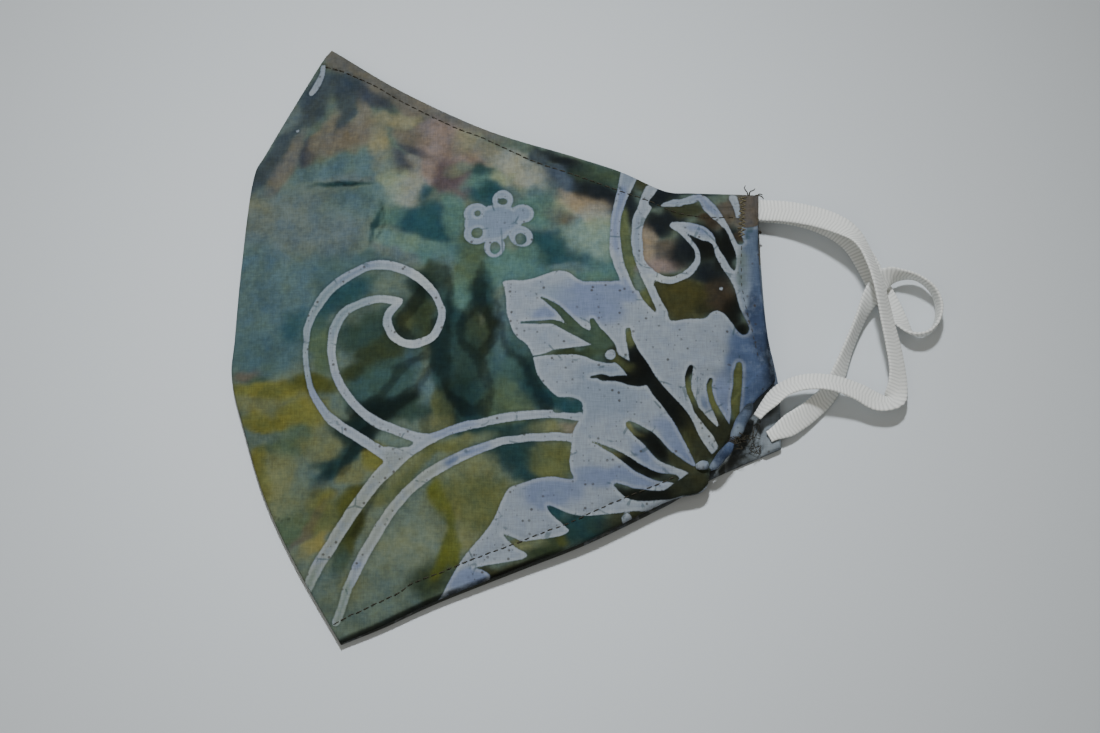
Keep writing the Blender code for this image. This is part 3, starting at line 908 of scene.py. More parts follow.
waxOutlines = {
    "leaf": [
        (-0.5, 10.6), (1.4, 10.9), (4.5, 10.8), (7.2, 11.3), (9.6, 12.2), (11.5, 13.0), (13.4, 13.2),
        (15.3, 12.4), (17.0, 11.1), (18.9, 10.3), (21.7, 10.3), (25.1, 10.3), (27.9, 10.3), (31.2, 7.9),
        (35.0, 6.4), (37.8, 3.8), (39.7, 0.3), (43.9, 0.6), (47.3, 0.9), (48.7, 2.2), (50.4, 3.0),
        (52.1, 2.3), (54.0, -0.1), (55.8, -2.2), (58.7, -3.1), (61.3, 5.9), (63.2, 18.8), (70.4, 5.9),
        (73.0, -12.8), (69.2, -33.1), (55.0, -42.5), (36.3, -47.2), (13.1, -59.4), (-7.7, -68.5),
        (-15.5, -67.0), (-13.7, -63.3), (-11.7, -59.2), (-9.6, -55.9), (-6.9, -52.5), (-4.1, -49.2),
        (-2.3, -46.5), (-1.3, -44.2), (-0.4, -41.6), (1.2, -39.5), (3.8, -38.4), (6.6, -37.5),
        (9.6, -37.0), (12.4, -37.0), (14.7, -37.5), (16.3, -37.3), (15.6, -35.6), (15.4, -32.8),
        (15.7, -29.1), (16.4, -25.8), (18.3, -22.5), (18.5, -21.3), (16.9, -19.9), (14.5, -19.1),
        (12.2, -17.9), (10.0, -16.0), (8.6, -14.3), (7.5, -12.1), (7.0, -9.6), (6.5, -7.6), (5.3, -5.4),
        (3.4, -3.9), (1.7, -1.6), (0.8, 0.9), (0.5, 3.7), (0.3, 6.8), (-0.2, 9.1),
    ],
    "fork": [
        (-29.0, -29.6), (-26.6, -29.4), (-22.0, -29.9), (-18.8, -27.4), (-18.4, -29.2), (-22.6, -32.0),
        (-25.2, -34.8), (-27.8, -33.8), (-28.6, -31.6),
    ],
    "sideField": [
        (54.9, -1.8), (54.1, 5.5), (53.2, 10.6), (55.3, 15.4), (56.0, 20.0), (57.2, 25.6), (58.0, 31.5),
        (58.7, 36.0), (71.9, 36.0), (70.0, -17.7), (55.6, -18.3),
    ],
}
petals = [
    Oval("upperMiddle", -0.7, 32.2, 2.9, 2.5, 90),
    Oval("upperRight", 4.0, 28.5, 2.9, 2.6, 0),
    Oval("lowerRight", 3.7, 22.4, 3.1, 2.7, -40),
    Oval("lowerMiddle", -2.7, 19.8, 2.5, 3.0, 0),
    Oval("lowerLeft", -7.0, 23.4, 3.1, 2.9, 10),
    Oval("upperLeft", -7.2, 28.5, 3.0, 2.9, -10),
    Oval("core", -1.4, 27.0, 5.6, 4.0, -8),
    Oval("coreLow", -3.8, 24.6, 5.0, 3.4, -10),
    Oval("leftJoin", -7.4, 26.0, 2.6, 3.6, 0),
]
petalHoles = [
    Oval("hole", -0.7, 31.9, 1.1, 0.9, 0),
    Oval("hole", 3.7, 21.6, 1.3, 1.5, 0),
    Oval("hole", -2.6, 19.4, 1.2, 1.5, 0),
    Oval("hole", -6.9, 23.4, 1.3, 1.3, 0),
    Oval("hole", -6.9, 28.6, 0.7, 0.8, 0),
]
dyeStrokes = {
    "leafVeinTop": [
        (8.6, 6.1, 0.4), (10.5, 5.0, 0.9), (12.7, 3.5, 1.4), (14.5, 1.4, 1.9), (16.4, -0.9, 2.1),
        (18.3, -2.6, 1.9), (20.7, -3.9, 2.4), (22.6, -5.9, 2.8),
    ],
    "leafVeinLeft": [
        (3.6, 0.1, 0.4), (7.2, 0.0, 0.7), (10.8, -0.0, 0.9), (13.4, -0.8, 1.4), (15.5, -2.1, 1.4),
        (17.8, -3.4, 1.4), (20.7, -4.6, 1.9),
    ],
    "leafVeinTrunk": [
        (20.7, 0.1, 1.2), (21.6, -1.9, 2.1), (23.0, -4.2, 3.1), (24.2, -6.4, 4.0), (25.1, -8.3, 3.8),
    ],
    "leafVeinLow": [
        (6.7, -8.4, 0.2), (9.6, -7.9, 0.4), (11.5, -7.5, 0.9), (13.8, -7.3, 1.4), (16.7, -7.1, 1.9),
        (19.7, -7.3, 2.8), (22.5, -7.8, 3.8), (24.4, -8.8, 2.8),
    ],
    "branchTop": [
        (29.2, -2.2, 1.2), (29.4, -4.2, 1.4), (30.1, -6.7, 2.1), (31.0, -9.1, 3.1), (32.4, -11.8, 4.0),
        (34.3, -14.2, 3.1),
    ],
    "branchMiddle": [
        (25.6, -7.9, 1.4), (27.0, -9.3, 1.9), (28.7, -10.8, 2.6), (30.5, -12.3, 3.3), (32.4, -13.7, 3.3),
    ],
    "branchLow": [
        (20.2, -13.6, 0.4), (21.8, -13.4, 0.9), (23.2, -13.7, 1.4), (25.1, -13.9, 0.9),
        (27.2, -13.9, 1.4), (29.6, -14.4, 2.1), (31.9, -14.7, 2.1), (33.8, -14.2, 1.9),
    ],
    "mainVein": [
        (33.1, -12.5, 3.3), (35.0, -15.1, 2.8), (37.1, -17.7, 3.1), (39.4, -20.5, 3.6),
        (41.7, -23.3, 4.0), (43.4, -26.6, 4.1), (45.1, -29.6, 4.0), (47.2, -33.2, 4.4),
    ],
    "fingerOne": [
        (44.0, -11.1, 1.2), (43.5, -13.0, 1.7), (43.2, -14.9, 1.4), (43.7, -17.3, 1.2),
        (44.8, -19.6, 1.2), (45.6, -21.3, 1.5), (47.9, -23.9, 1.8), (50.2, -26.4, 2.2),
        (51.6, -28.8, 2.8),
    ],
    "fingerTwo": [
        (48.7, -13.8, 0.9), (48.4, -15.9, 1.2), (48.6, -18.1, 1.4), (49.6, -20.3, 1.4),
        (50.7, -22.4, 1.7), (52.1, -24.8, 2.4),
    ],
    "fingerThree": [
        (55.4, -10.2, 1.4), (55.2, -12.5, 1.9), (54.9, -15.6, 2.1), (54.6, -18.9, 2.1),
        (54.5, -22.2, 2.1), (54.2, -25.3, 2.8),
    ],
    "fingerBase": [
        (50.6, -25.4, 1.6), (52.2, -25.9, 3.0), (54.4, -26.1, 3.3), (52.6, -29.0, 3.4),
        (50.6, -31.6, 2.8), (48.6, -33.6, 3.2),
    ],
    "fatVein": [
        (29.3, -24.8, 1.4), (31.1, -26.0, 2.6), (33.2, -27.6, 3.3), (35.3, -29.7, 3.6),
        (37.6, -31.8, 3.3), (40.2, -33.4, 2.6), (43.0, -34.8, 1.9), (45.3, -35.9, 2.8),
    ],
    "thinVein": [
        (20.6, -28.9, 0.3), (23.1, -29.8, 0.7), (25.9, -31.2, 1.2), (28.7, -33.0, 1.7),
        (31.5, -34.9, 1.9), (34.1, -36.2, 1.9), (36.9, -36.9, 1.7), (39.9, -37.4, 1.9),
    ],
    "lowVein": [
        (26.1, -38.9, 0.9), (28.0, -40.0, 2.1), (30.3, -40.9, 2.6), (32.9, -41.1, 2.4),
        (35.4, -41.1, 2.1), (38.3, -40.8, 2.1), (41.1, -39.6, 3.3), (44.4, -38.2, 4.7),
        (47.2, -36.3, 3.3),
    ],
    "scrollGap": [
        (34.2, 39.0, 2.1), (32.4, 35.4, 2.1), (30.4, 31.4, 2.1), (29.4, 27.4, 2.4), (28.8, 23.0, 2.4),
        (29.2, 18.4, 2.4), (30.4, 13.9, 2.4), (32.0, 9.7, 2.1), (33.6, 6.4, 1.9), (35.0, 3.8, 1.2),
        (35.7, 2.5, 0.5),
    ],
}
dyeOutlines = {
    "cutEnd": [
        (11.6, -18.4), (14.2, -18.4), (16.4, -18.6), (18.0, -19.3), (18.5, -20.4), (17.9, -21.6),
        (16.2, -22.1), (13.8, -21.9), (11.6, -21.7),
    ],
    "forkLens": [
        (-26.6, -28.3), (-24.4, -27.7), (-22.2, -27.9), (-21.5, -28.8), (-23.0, -29.5), (-25.4, -29.2),
    ],
    "scrollEye": [
        (34.1, 21.2), (34.9, 24.5), (36.4, 27.0), (38.4, 28.8), (40.6, 29.7), (42.5, 29.1), (43.1, 30.9),
        (44.8, 31.2), (46.7, 31.5), (47.4, 29.5), (49.0, 27.8), (51.4, 26.3), (51.1, 24.3), (50.7, 21.8),
        (50.1, 22.9), (48.4, 24.9), (46.1, 26.3), (43.2, 26.5), (40.8, 26.8), (39.5, 26.0), (40.2, 24.3),
        (41.8, 22.9), (43.5, 20.9), (44.6, 18.5), (44.8, 15.8), (43.5, 13.7), (41.1, 12.3), (38.2, 12.3),
        (35.4, 13.4), (33.7, 15.5), (33.3, 18.5),
    ],
    "cornerPatch": [
        (37.9, 37.0), (39.8, 36.0), (41.7, 34.7), (41.4, 33.2), (40.0, 32.5), (38.2, 31.6), (37.0, 30.4),
        (35.3, 30.7), (34.8, 31.8), (36.3, 34.1),
    ],
    "seedShape": [
        (51.1, 24.6), (52.5, 24.9), (53.7, 23.0), (54.8, 19.7), (55.4, 16.4), (55.0, 13.2), (54.1, 13.8),
        (52.7, 16.7), (51.4, 19.3), (50.7, 21.8),
    ],
    "olivePatch": [
        (35.6, 10.0), (38.2, 9.2), (41.3, 9.5), (44.2, 10.5), (46.1, 12.9), (46.9, 15.8), (46.8, 18.5),
        (45.6, 21.0), (44.0, 22.6), (46.9, 21.2), (49.7, 20.2), (50.6, 16.9), (51.9, 13.7), (53.7, 10.6),
        (54.8, 7.8), (55.5, 4.8), (56.8, 1.2), (58.0, -1.7), (57.0, -2.9), (55.4, -2.0), (53.7, 0.4),
        (52.1, 2.3), (50.4, 3.0), (48.7, 2.2), (47.3, 0.9), (43.9, 0.6), (39.7, 0.3), (38.5, 2.6),
        (37.1, 5.8), (36.0, 8.4),
    ],
    "chinCut": [
        (10.1, -43.5), (12.1, -44.2), (15.4, -45.6), (18.9, -45.9), (23.5, -45.6), (29.4, -45.1),
        (34.5, -44.3), (38.2, -43.9), (31.6, -48.1), (22.3, -52.1), (13.1, -56.5), (3.8, -60.2),
        (-4.0, -63.4), (-7.7, -65.2), (-3.1, -60.6), (-4.3, -58.7), (-6.6, -58.0), (-4.3, -57.4),
        (0.3, -56.9), (3.8, -56.2), (5.4, -55.3), (5.0, -54.4), (3.1, -53.5), (1.5, -52.1),
        (-0.2, -50.2), (1.9, -50.9), (4.3, -51.9), (7.3, -51.6), (10.8, -51.2), (13.5, -50.7),
        (15.2, -49.6), (14.5, -48.4), (12.4, -46.8), (10.8, -45.2),
    ],
    "tabPatch": [
        (57.2, 36.5), (64.0, 36.5), (63.0, 30.0), (61.0, 25.8), (58.6, 24.9), (57.2, 25.4), (56.9, 29.9),
    ],
    "tabStrip": [
        (52.0, 33.7), (53.9, 33.8), (55.2, 30.5), (56.0, 26.4), (57.0, 22.5), (57.4, 20.5), (56.0, 20.5),
        (54.9, 24.1), (53.6, 27.2), (52.5, 30.4),
    ],
}
waxDots = [
    Oval("dot", 25.1, -8.1, 1.3, 1.3, 0),
    Oval("dot", 28.6, -46.7, 1.3, 1.3, 0),
    Oval("dot", 51.5, 8.3, 0.5, 0.5, 0),
    Oval("dot", -52.0, 52.8, 0.5, 0.5, 0),
]

# dark lines that the crumpled cloth took up, as x, y, width in mm, how soft they are and how dark
creases = [
    Crease("centreMain", 0.7, 0.74, [
        (-16.2, 0.6, 1.7), (-15.8, -3.9, 3.5), (-15.3, -8.4, 4.3), (-14.3, -12.3, 2.3),
        (-13.3, -15.8, 1.9), (-11.4, -18.7, 2.6), (-8.1, -21.0, 3.2), (-4.8, -21.7, 1.7),
    ]),
    Crease("leftRay", 0.7, 0.70, [
        (-16.8, -5.9, 2.9), (-19.1, -7.8, 2.2), (-22.4, -9.1, 2.1), (-25.3, -11.3, 2.6),
        (-27.3, -14.1, 1.9), (-29.4, -17.2, 2.2), (-32.2, -19.6, 3.5), (-36.0, -20.7, 2.2),
    ]),
    Crease("leftRayLow", 0.7, 0.62, [
        (-16.0, -9.3, 2.0), (-18.3, -11.7, 1.7), (-19.7, -14.9, 2.1), (-22.1, -17.0, 3.4),
        (-25.6, -18.6, 3.9), (-28.6, -20.9, 3.6), (-31.2, -23.0, 3.1),
    ]),
    Crease("rightRay", 0.7, 0.62, [
        (-6.3, -7.6, 2.5), (-5.1, -11.1, 1.8), (-3.9, -14.5, 1.6), (-3.4, -17.9, 2.2),
        (-4.8, -20.8, 2.9),
    ]),
    Crease("isletLeft", 0.6, 0.72, [
        (-5.7, 6.4, 2.7), (-8.1, 3.2, 2.4), (-9.9, -0.6, 2.2), (-9.4, -4.6, 2.0), (-6.8, -7.6, 2.4),
    ]),
    Crease("isletRight", 0.6, 0.72, [
        (-5.7, 6.4, 2.6), (-3.8, 2.8, 2.2), (-2.5, -1.8, 2.1), (-3.5, -5.2, 2.6), (-6.3, -7.9, 2.6),
    ]),
    Crease("aboveIslet", 0.7, 0.57, [
        (-5.6, 15.7, 1.0), (-6.2, 11.0, 2.6), (-6.0, 6.4, 3.1),
    ]),
    Crease("beforeIslet", 0.7, 0.57, [
        (-14.2, 14.4, 1.2), (-13.2, 9.2, 1.4), (-13.8, 4.1, 1.4), (-13.3, -1.5, 1.7), (-14.4, -5.9, 2.2),
    ]),
    Crease("insideHook", 0.7, 0.72, [
        (-19.5, 10.9, 2.9), (-21.1, 6.9, 2.3), (-23.4, 3.4, 2.3), (-24.8, -0.1, 2.1), (-23.3, -3.1, 2.3),
    ]),
    Crease("hookSpot", 0.9, 0.36, [
        (-18.6, 16.1, 1.8), (-16.6, 13.9, 3.1), (-14.7, 11.3, 1.6),
    ]),
    Crease("sideLine", 0.35, 0.50, [
        (-29.7, 32.1, 0.3), (-29.6, 29.4, 0.7), (-29.9, 26.6, 0.6), (-30.5, 24.2, 0.5),
        (-30.9, 22.3, 0.2),
    ]),
    Crease("topLine", 0.4, 0.55, [
        (-41.7, 38.3, 0.3), (-38.2, 37.6, 0.6), (-34.8, 37.7, 0.4),
    ]),
    Crease("leafSide", 0.7, 0.57, [
        (-1.9, 5.8, 1.0), (-1.1, -0.5, 1.2), (0.8, -5.6, 1.6), (4.1, -9.8, 1.8), (7.0, -15.4, 2.6),
        (9.8, -20.3, 3.1),
    ]),
    Crease("lowRay", 0.7, 0.74, [
        (-38.3, -34.8, 1.7), (-35.8, -31.3, 3.1), (-33.5, -27.7, 3.6), (-31.2, -24.9, 3.1),
    ]),
    Crease("lowRayTwo", 0.9, 0.35, [
        (-45.0, -41.0, 1.2), (-42.8, -37.0, 1.9), (-40.0, -32.8, 1.9),
    ]),
    Crease("betweenStems", 0.8, 0.52, [
        (-27.9, -37.4, 0.8), (-30.8, -42.1, 1.4), (-33.6, -46.3, 1.6), (-35.4, -50.2, 1.8),
    ]),
    Crease("smallLine", 0.35, 0.60, [
        (-53.4, -46.0, 0.3), (-51.7, -46.3, 0.5), (-50.1, -45.6, 0.3),
    ]),
    Crease("centreMass", 1.2, 0.38, [
        (-17.9, -4.8, 1.6), (-15.6, -8.6, 3.8), (-13.8, -12.2, 2.4),
    ]),
    Crease("lowMass", 1.1, 0.36, [
        (-36.0, -19.8, 1.6), (-31.8, -20.8, 3.4), (-27.4, -20.3, 3.0), (-23.2, -18.6, 1.6),
    ]),
    Crease("rightMass", 1.1, 0.22, [
        (-12.2, -18.8, 1.6), (-8.6, -20.3, 3.0), (-4.2, -20.6, 2.8), (0.2, -20.9, 1.4),
    ]),
]

# where the lower half's corner lies in shade between the loops
cornerShades = [
    Oval("betweenLoops", 62.2, -19.6, 3.4, 1.5, 25), Oval("underKnot", 59.2, -23.2, 2.6, 1.2, -35),
    Oval("fold", 60.2, -27.6, 1.8, 0.6, -50),
]

def madePools(groups):
    # under each dye's name, one row a pool: x, y, along, aside, turn, strength, in mm and degrees
    return [Pool(dye, *row) for dye, rows in groups.items() for row in rows]


# pools of dye on the cloth
rollPools = madePools({
    "tubeDark": [(57.8, -19.8, 2.2, 1.8, 0, 1.4)],
    "tubeBlue": [(56.2, -23.0, 2.4, 2.0, 0, 1.2)],
    "waxSlate": [(54.8, -26.0, 1.4, 1.4, 0, 0.8), (48.9, -34.0, 1.6, 1.4, 0, 1.2)],
    "navy": [(51.4, -31.2, 2.6, 1.6, 50, 1.2)],
    "denim": [(53.0, -29.4, 1.6, 1.4, 0, 1.0)],
    "paleWax": [(46.3, -34.3, 2.0, 1.6, 0, 1.2)],
})
dyePools = madePools({
    "taupe": [
        (-40.7, 72.3, 8.1, 2.7, -32, 1.3), (-26.6, 63.3, 10.0, 2.5, -28, 1.3),
        (-13.5, 55.7, 9.5, 2.2, -25, 1.2), (-53.9, 44.9, 7.1, 1.7, 62, 0.8),
    ],
    "dun": [
        (-20.2, 58.1, 6.2, 2.2, -25, 0.8), (-38.7, 50.3, 6.2, 3.5, 20, 0.8),
        (-21.3, 50.5, 5.2, 2.5, -20, 0.7),
    ],
    "slate": [
        (-38.6, 63.7, 8.1, 3.5, -20, 1.2), (-48.6, 60.2, 4.7, 3.0, 60, 1.0),
        (-58.0, 45.1, 10.4, 2.0, 60, 1.2), (-40.9, 55.9, 5.2, 1.5, 65, 0.7), (8.3, 43.1, 2.2, 1.6, 0, 0.8),
    ],
    "violetShade": [
        (-32.8, 61.5, 3.8, 2.5, -35, 0.9), (-48.0, 46.8, 3.8, 2.0, 65, 0.9),
        (-26.3, 42.9, 2.8, 2.7, 0, 1.1), (-21.0, 46.4, 3.8, 1.2, -25, 0.8), (24.6, 29.8, 2.8, 2.5, 0, 0.9),
    ],
    "greyTeal": [
        (-53.5, 56.6, 3.8, 1.7, 60, 0.7), (-38.8, 39.5, 5.7, 1.2, 5, 0.7),
        (-50.2, 27.2, 12.3, 7.0, -10, 1.1), (-25.6, 18.4, 4.7, 1.9, -12, 0.8),
    ],
    "ochreGrey": [
        (-45.2, 50.8, 5.7, 1.5, 65, 1.1), (-36.4, 55.8, 5.2, 1.5, 75, 0.7), (14.3, -25.8, 2.8, 1.7, 0, 1.0),
    ],
    "straw": [
        (-31.7, 48.1, 2.1, 5.0, 10, 0.9), (-24.9, 55.1, 5.7, 1.7, 5, 0.8), (-10.4, 48.9, 2.4, 3.7, 10, 0.9),
    ],
    "rose": [
        (-15.8, 49.0, 4.7, 5.0, 0, 1.1), (-18.4, 41.3, 2.8, 3.5, 0, 0.6), (-8.9, 43.3, 3.3, 2.5, 0, 0.5),
        (38.1, 15.3, 3.8, 2.2, 0, 1.4),
    ],
    "plum": [(-13.2, 39.0, 3.1, 6.0, 15, 0.9)],
    "mist": [(-23.1, 42.8, 1.9, 2.5, 0, 0.8)],
    "chalk": [
        (-24.2, 36.0, 4.3, 3.5, 20, 1.1), (-0.8, 43.8, 4.7, 2.7, -20, 1.2), (5.9, 38.7, 5.2, 2.7, -25, 1.1),
        (20.9, 27.9, 4.3, 2.7, -20, 0.8),
    ],
    "lime": [
        (-28.2, 39.1, 1.9, 5.0, 5, 0.9), (-1.5, 38.2, 2.8, 1.5, 0, 0.8), (22.3, 23.8, 2.8, 2.0, 0, 0.9),
        (14.4, 29.8, 2.4, 3.0, 0, 0.5),
    ],
    "deepTeal": [
        (-20.0, 35.0, 1.9, 2.2, 0, 0.9), (-19.3, 27.2, 5.7, 3.0, -15, 1.6),
        (-15.6, 23.9, 2.4, 1.5, -30, 1.3), (-38.5, 8.4, 6.2, 2.7, 25, 0.9),
        (-44.9, 3.5, 2.4, 6.0, -20, 0.7), (10.8, -17.9, 6.2, 1.7, -25, 1.0),
        (15.9, -20.3, 2.8, 1.2, 0, 1.2), (-4.3, 34.1, 4.0, 2.5, 15, 1.3), (10.3, 20.4, 4.3, 2.2, -25, 1.5),
        (16.7, 16.6, 6.2, 1.5, -8, 1.3), (11.9, -44.9, 2.8, 1.5, -20, 1.2),
        (-50.8, 1.2, 2.8, 4.2, -12, 2.4),
    ],
    "tealGrey": [
        (-38.4, 42.0, 10.4, 2.0, 8, 0.9), (-37.5, 31.1, 9.5, 3.2, 0, 0.9), (-61.0, 18.1, 4.7, 5.5, 0, 0.8),
        (-56.8, 8.0, 10.0, 11.0, 0, 1.2), (-18.0, -15.2, 1.9, 3.6, -25, 0.9),
        (-1.8, -3.0, 1.9, 6.5, 0, 0.8), (10.3, 34.2, 3.3, 3.0, 0, 0.6), (16.0, 14.2, 6.2, 1.0, -5, 0.8),
        (-15.2, 16.0, 2.4, 4.5, 0, 0.8),
    ],
    "inkTeal": [
        (-40.0, 37.7, 5.7, 0.7, 3, 1.0), (-30.3, 27.3, 0.7, 5.5, -10, 1.0), (-14.8, -6.9, 1.9, 6.5, 5, 1.0),
        (-8.1, -18.8, 3.8, 6.5, 15, 1.1), (-12.3, 0.6, 2.2, 6.0, 5, 0.9), (-5.3, 8.5, 2.8, 6.0, 0, 1.2),
        (6.0, -14.2, 2.8, 6.0, 20, 0.9), (-8.1, 40.0, 3.3, 2.2, -15, 0.6),
        (-38.2, -30.5, 4.7, 2.0, 35, 1.2), (-41.8, -35.9, 4.3, 1.5, 45, 1.2),
        (-1.0, -25.6, 8.1, 1.7, 5, 1.4), (1.4, -32.0, 5.7, 3.5, -10, 1.4), (4.9, -36.5, 3.8, 1.2, 0, 0.8),
        (20.0, -48.9, 5.7, 3.0, 10, 1.6), (9.5, 18.4, 2.4, 3.0, 0, 1.4),
    ],
    "mistTeal": [(-28.8, 34.0, 4.3, 3.0, -20, 0.8), (20.4, 20.6, 6.2, 4.5, 0, 1.2)],
    "sage": [(-61.3, 31.3, 3.3, 3.2, 20, 0.9), (-6.2, 0.3, 0.9, 2.0, 0, 0.9)],
    "slateTeal": [
        (-31.5, 34.6, 4.0, 2.4, 10, 0.9), (-58.3, -3.4, 7.1, 6.0, 0, 1.1), (-42.4, 15.0, 6.2, 5.0, 0, 0.6),
        (-35.1, 16.7, 9.5, 1.7, 10, 0.6), (3.6, -1.9, 2.4, 6.5, 10, 0.8), (-21.8, -3.7, 2.4, 7.5, 0, 0.3),
        (-24.2, -46.9, 3.8, 3.0, 0, 0.5),
    ],
    "seaGreen": [
        (-27.4, 28.8, 3.3, 2.5, 20, 0.8), (-12.3, 28.3, 1.9, 5.5, 10, 0.8), (-9.6, 8.8, 2.2, 4.6, 0, 0.9),
        (-7.5, 36.4, 3.3, 2.0, 20, 0.6), (9.5, 29.3, 4.3, 3.5, 0, 0.8),
    ],
    "seaGlass": [(-22.6, 21.5, 6.6, 2.0, -8, 0.9)],
    "teal": [
        (-16.7, 19.2, 6.2, 3.0, -5, 0.9), (6.0, 15.4, 3.3, 4.0, 0, 0.9), (-1.2, 14.8, 6.2, 3.0, 0, 0.8),
        (22.7, 13.7, 4.3, 3.5, 0, 0.9),
    ],
    "moss": [
        (-44.7, -4.1, 2.1, 6.5, 0, 0.7), (-1.0, -18.9, 5.2, 5.0, 0, 0.9), (-8.9, 15.8, 3.3, 6.0, 0, 1.0),
        (-51.2, -27.6, 5.0, 3.4, 0, 1.1), (-50.0, -47.5, 4.3, 3.0, 0, 0.9),
    ],
    "pine": [
        (-33.4, -0.8, 6.2, 4.0, 20, 1.0), (-21.8, -19.6, 5.2, 2.5, 20, 0.8), (-9.4, -6.6, 3.3, 7.5, 0, 1.0),
    ],
    "greyGreen": [
        (-36.6, 2.4, 3.3, 1.7, 20, 0.5), (-57.4, -26.0, 7.6, 1.5, -5, 1.0),
        (-46.0, -38.9, 3.8, 3.0, 20, 0.9), (-40.2, -61.8, 3.8, 5.0, 0, 0.9),
        (-27.4, -62.0, 8.1, 4.5, 20, 1.2), (-28.5, -66.6, 7.1, 2.5, 20, 0.9),
    ],
    "deepMoss": [
        (-29.7, -5.9, 5.7, 3.0, 30, 1.0), (-35.8, -11.2, 3.6, 2.2, 10, 1.5), (-20.5, 0.4, 3.2, 5.0, 0, 1.7),
        (-35.9, -49.0, 4.7, 2.0, 60, 1.0), (-16.5, -61.0, 4.3, 4.0, 0, 0.8), (19.0, -7.8, 5.7, 1.0, 0, 1.2),
        (9.6, -54.2, 4.3, 2.0, 20, 1.2),
    ],
    "ink": [
        (-19.2, 8.9, 4.0, 3.7, -30, 1.2), (-24.5, -1.1, 1.9, 2.0, 0, 0.7),
        (-28.2, -19.9, 8.1, 2.2, 28, 1.4), (-35.2, -24.8, 4.3, 2.5, 10, 1.1),
        (-12.3, -17.5, 2.8, 6.5, -15, 1.3), (-17.5, -23.4, 1.9, 5.0, 0, 0.3),
        (-4.2, -0.5, 1.4, 5.5, 0, 0.9),
    ],
    "olive": [
        (-22.4, 0.1, 1.4, 2.2, 0, 0.9), (-14.4, -19.8, 2.1, 5.0, 5, 0.9), (-42.6, -46.6, 3.4, 3.0, 30, 1.1),
        (-15.0, -30.6, 6.2, 1.5, 22, 1.0), (-7.9, -42.5, 6.2, 5.5, 0, 1.2), (9.6, -32.8, 3.8, 3.5, 0, 1.1),
        (13.1, -33.8, 2.4, 3.5, 0, 1.0), (29.4, -4.2, 1.4, 2.5, 0, 1.4), (27.7, -11.0, 2.4, 1.2, -35, 1.2),
        (43.5, -29.6, 1.4, 2.5, 30, 0.8), (43.9, -17.8, 1.2, 3.0, 0, 1.3),
        (49.4, -18.7, 1.4, 4.0, -15, 1.6), (54.9, -16.1, 1.6, 6.5, 0, 2.0),
        (-25.0, -38.3, 6.4, 1.8, 45, 0.5), (33.8, 6.0, 1.9, 3.0, -30, 1.3),
    ],
    "fernGreen": [
        (-16.2, 12.8, 2.3, 3.5, 20, 1.2), (22.6, 38.2, 5.0, 2.4, -20, 1.4),
        (-38.6, -57.4, 1.8, 3.8, -25, 1.2), (15.0, 1.4, 7.1, 3.0, -30, 1.3), (22.1, -4.1, 3.3, 5.0, 0, 1.3),
        (-59.4, -12.2, 2.6, 1.6, 0, 0.9),
    ],
    "pineTeal": [(-29.5, -13.2, 7.0, 4.5, 35, 1.3), (0.1, -9.3, 4.3, 6.5, 0, 1.0)],
    "oliveGrey": [
        (-15.6, -24.6, 3.3, 2.5, 0, 0.7), (-47.8, -42.9, 4.7, 3.0, 0, 0.9),
        (-24.4, -35.1, 5.7, 1.7, 35, 1.0), (-7.9, -35.4, 5.7, 3.5, 0, 0.9),
        (-6.8, -27.6, 6.2, 1.2, 12, 0.8),
    ],
    "isletBrown": [(-6.1, -0.8, 2.6, 5.6, 0, 2.0)],
    "mistGrey": [(-5.4, 45.5, 4.3, 2.5, -20, 0.8)],
    "slateViolet": [(13.2, 37.6, 4.3, 2.5, -30, 1.1)],
    "night": [
        (16.9, 40.9, 8.0, 1.4, -24, 1.0), (21.9, 34.3, 5.7, 2.7, -40, 1.3), (30.6, 30.8, 1.9, 4.0, 15, 1.2),
        (38.5, 33.7, 3.3, 2.5, 0, 1.4), (39.0, 26.2, 4.3, 2.2, 20, 1.5), (42.9, 18.5, 2.4, 3.5, -20, 1.5),
        (48.6, 12.0, 3.0, 2.8, 0, 1.2), (44.9, 34.5, 4.7, 0.7, 0, 0.9),
    ],
    "peach": [(18.7, 30.6, 4.7, 2.2, -25, 1.2), (35.3, 20.4, 1.9, 4.0, 5, 1.6)],
    "umberGrey": [
        (12.7, 27.9, 3.8, 2.5, -30, 0.7), (-61.4, -10.4, 2.8, 1.8, -5, 0.8),
        (-44.8, -47.7, 5.2, 1.2, 45, 0.9), (39.6, 19.0, 2.4, 2.5, 0, 0.9), (54.0, 29.3, 1.9, 4.5, -20, 1.3),
    ],
    "mustard": [
        (-56.4, -15.5, 7.1, 2.0, -5, 1.3), (-57.1, -22.1, 4.7, 1.7, -5, 1.3),
        (-48.4, -21.9, 5.2, 3.0, 0, 0.8), (-57.2, -34.2, 1.9, 6.5, 0, 0.9),
        (-31.0, -31.4, 2.4, 2.7, 20, 1.1), (-42.6, -43.0, 2.8, 2.2, 0, 0.8),
    ],
    "khaki": [
        (-57.7, -18.4, 5.2, 1.5, 0, 1.0), (-53.2, -36.7, 3.8, 6.5, 0, 1.0),
        (-43.5, -28.6, 4.7, 2.5, 0, 0.8), (-36.2, -34.8, 3.3, 2.5, 35, 1.0),
        (-35.5, -63.1, 4.7, 3.5, 0, 0.8), (-10.2, -49.4, 3.3, 5.0, 0, 0.6), (8.4, -25.7, 4.7, 1.5, 0, 1.0),
        (30.4, -25.5, 2.4, 1.0, -40, 1.0), (23.6, -30.3, 3.8, 1.0, -25, 1.2),
        (4.6, -53.0, 4.2, 1.3, 0, 1.5), (-15.1, -23.2, 2.8, 2.2, 0, 1.2),
    ],
    "mustardDark": [
        (-46.5, -14.7, 4.7, 2.0, 0, 1.2), (-35.2, -49.4, 1.8, 4.8, -25, 1.5),
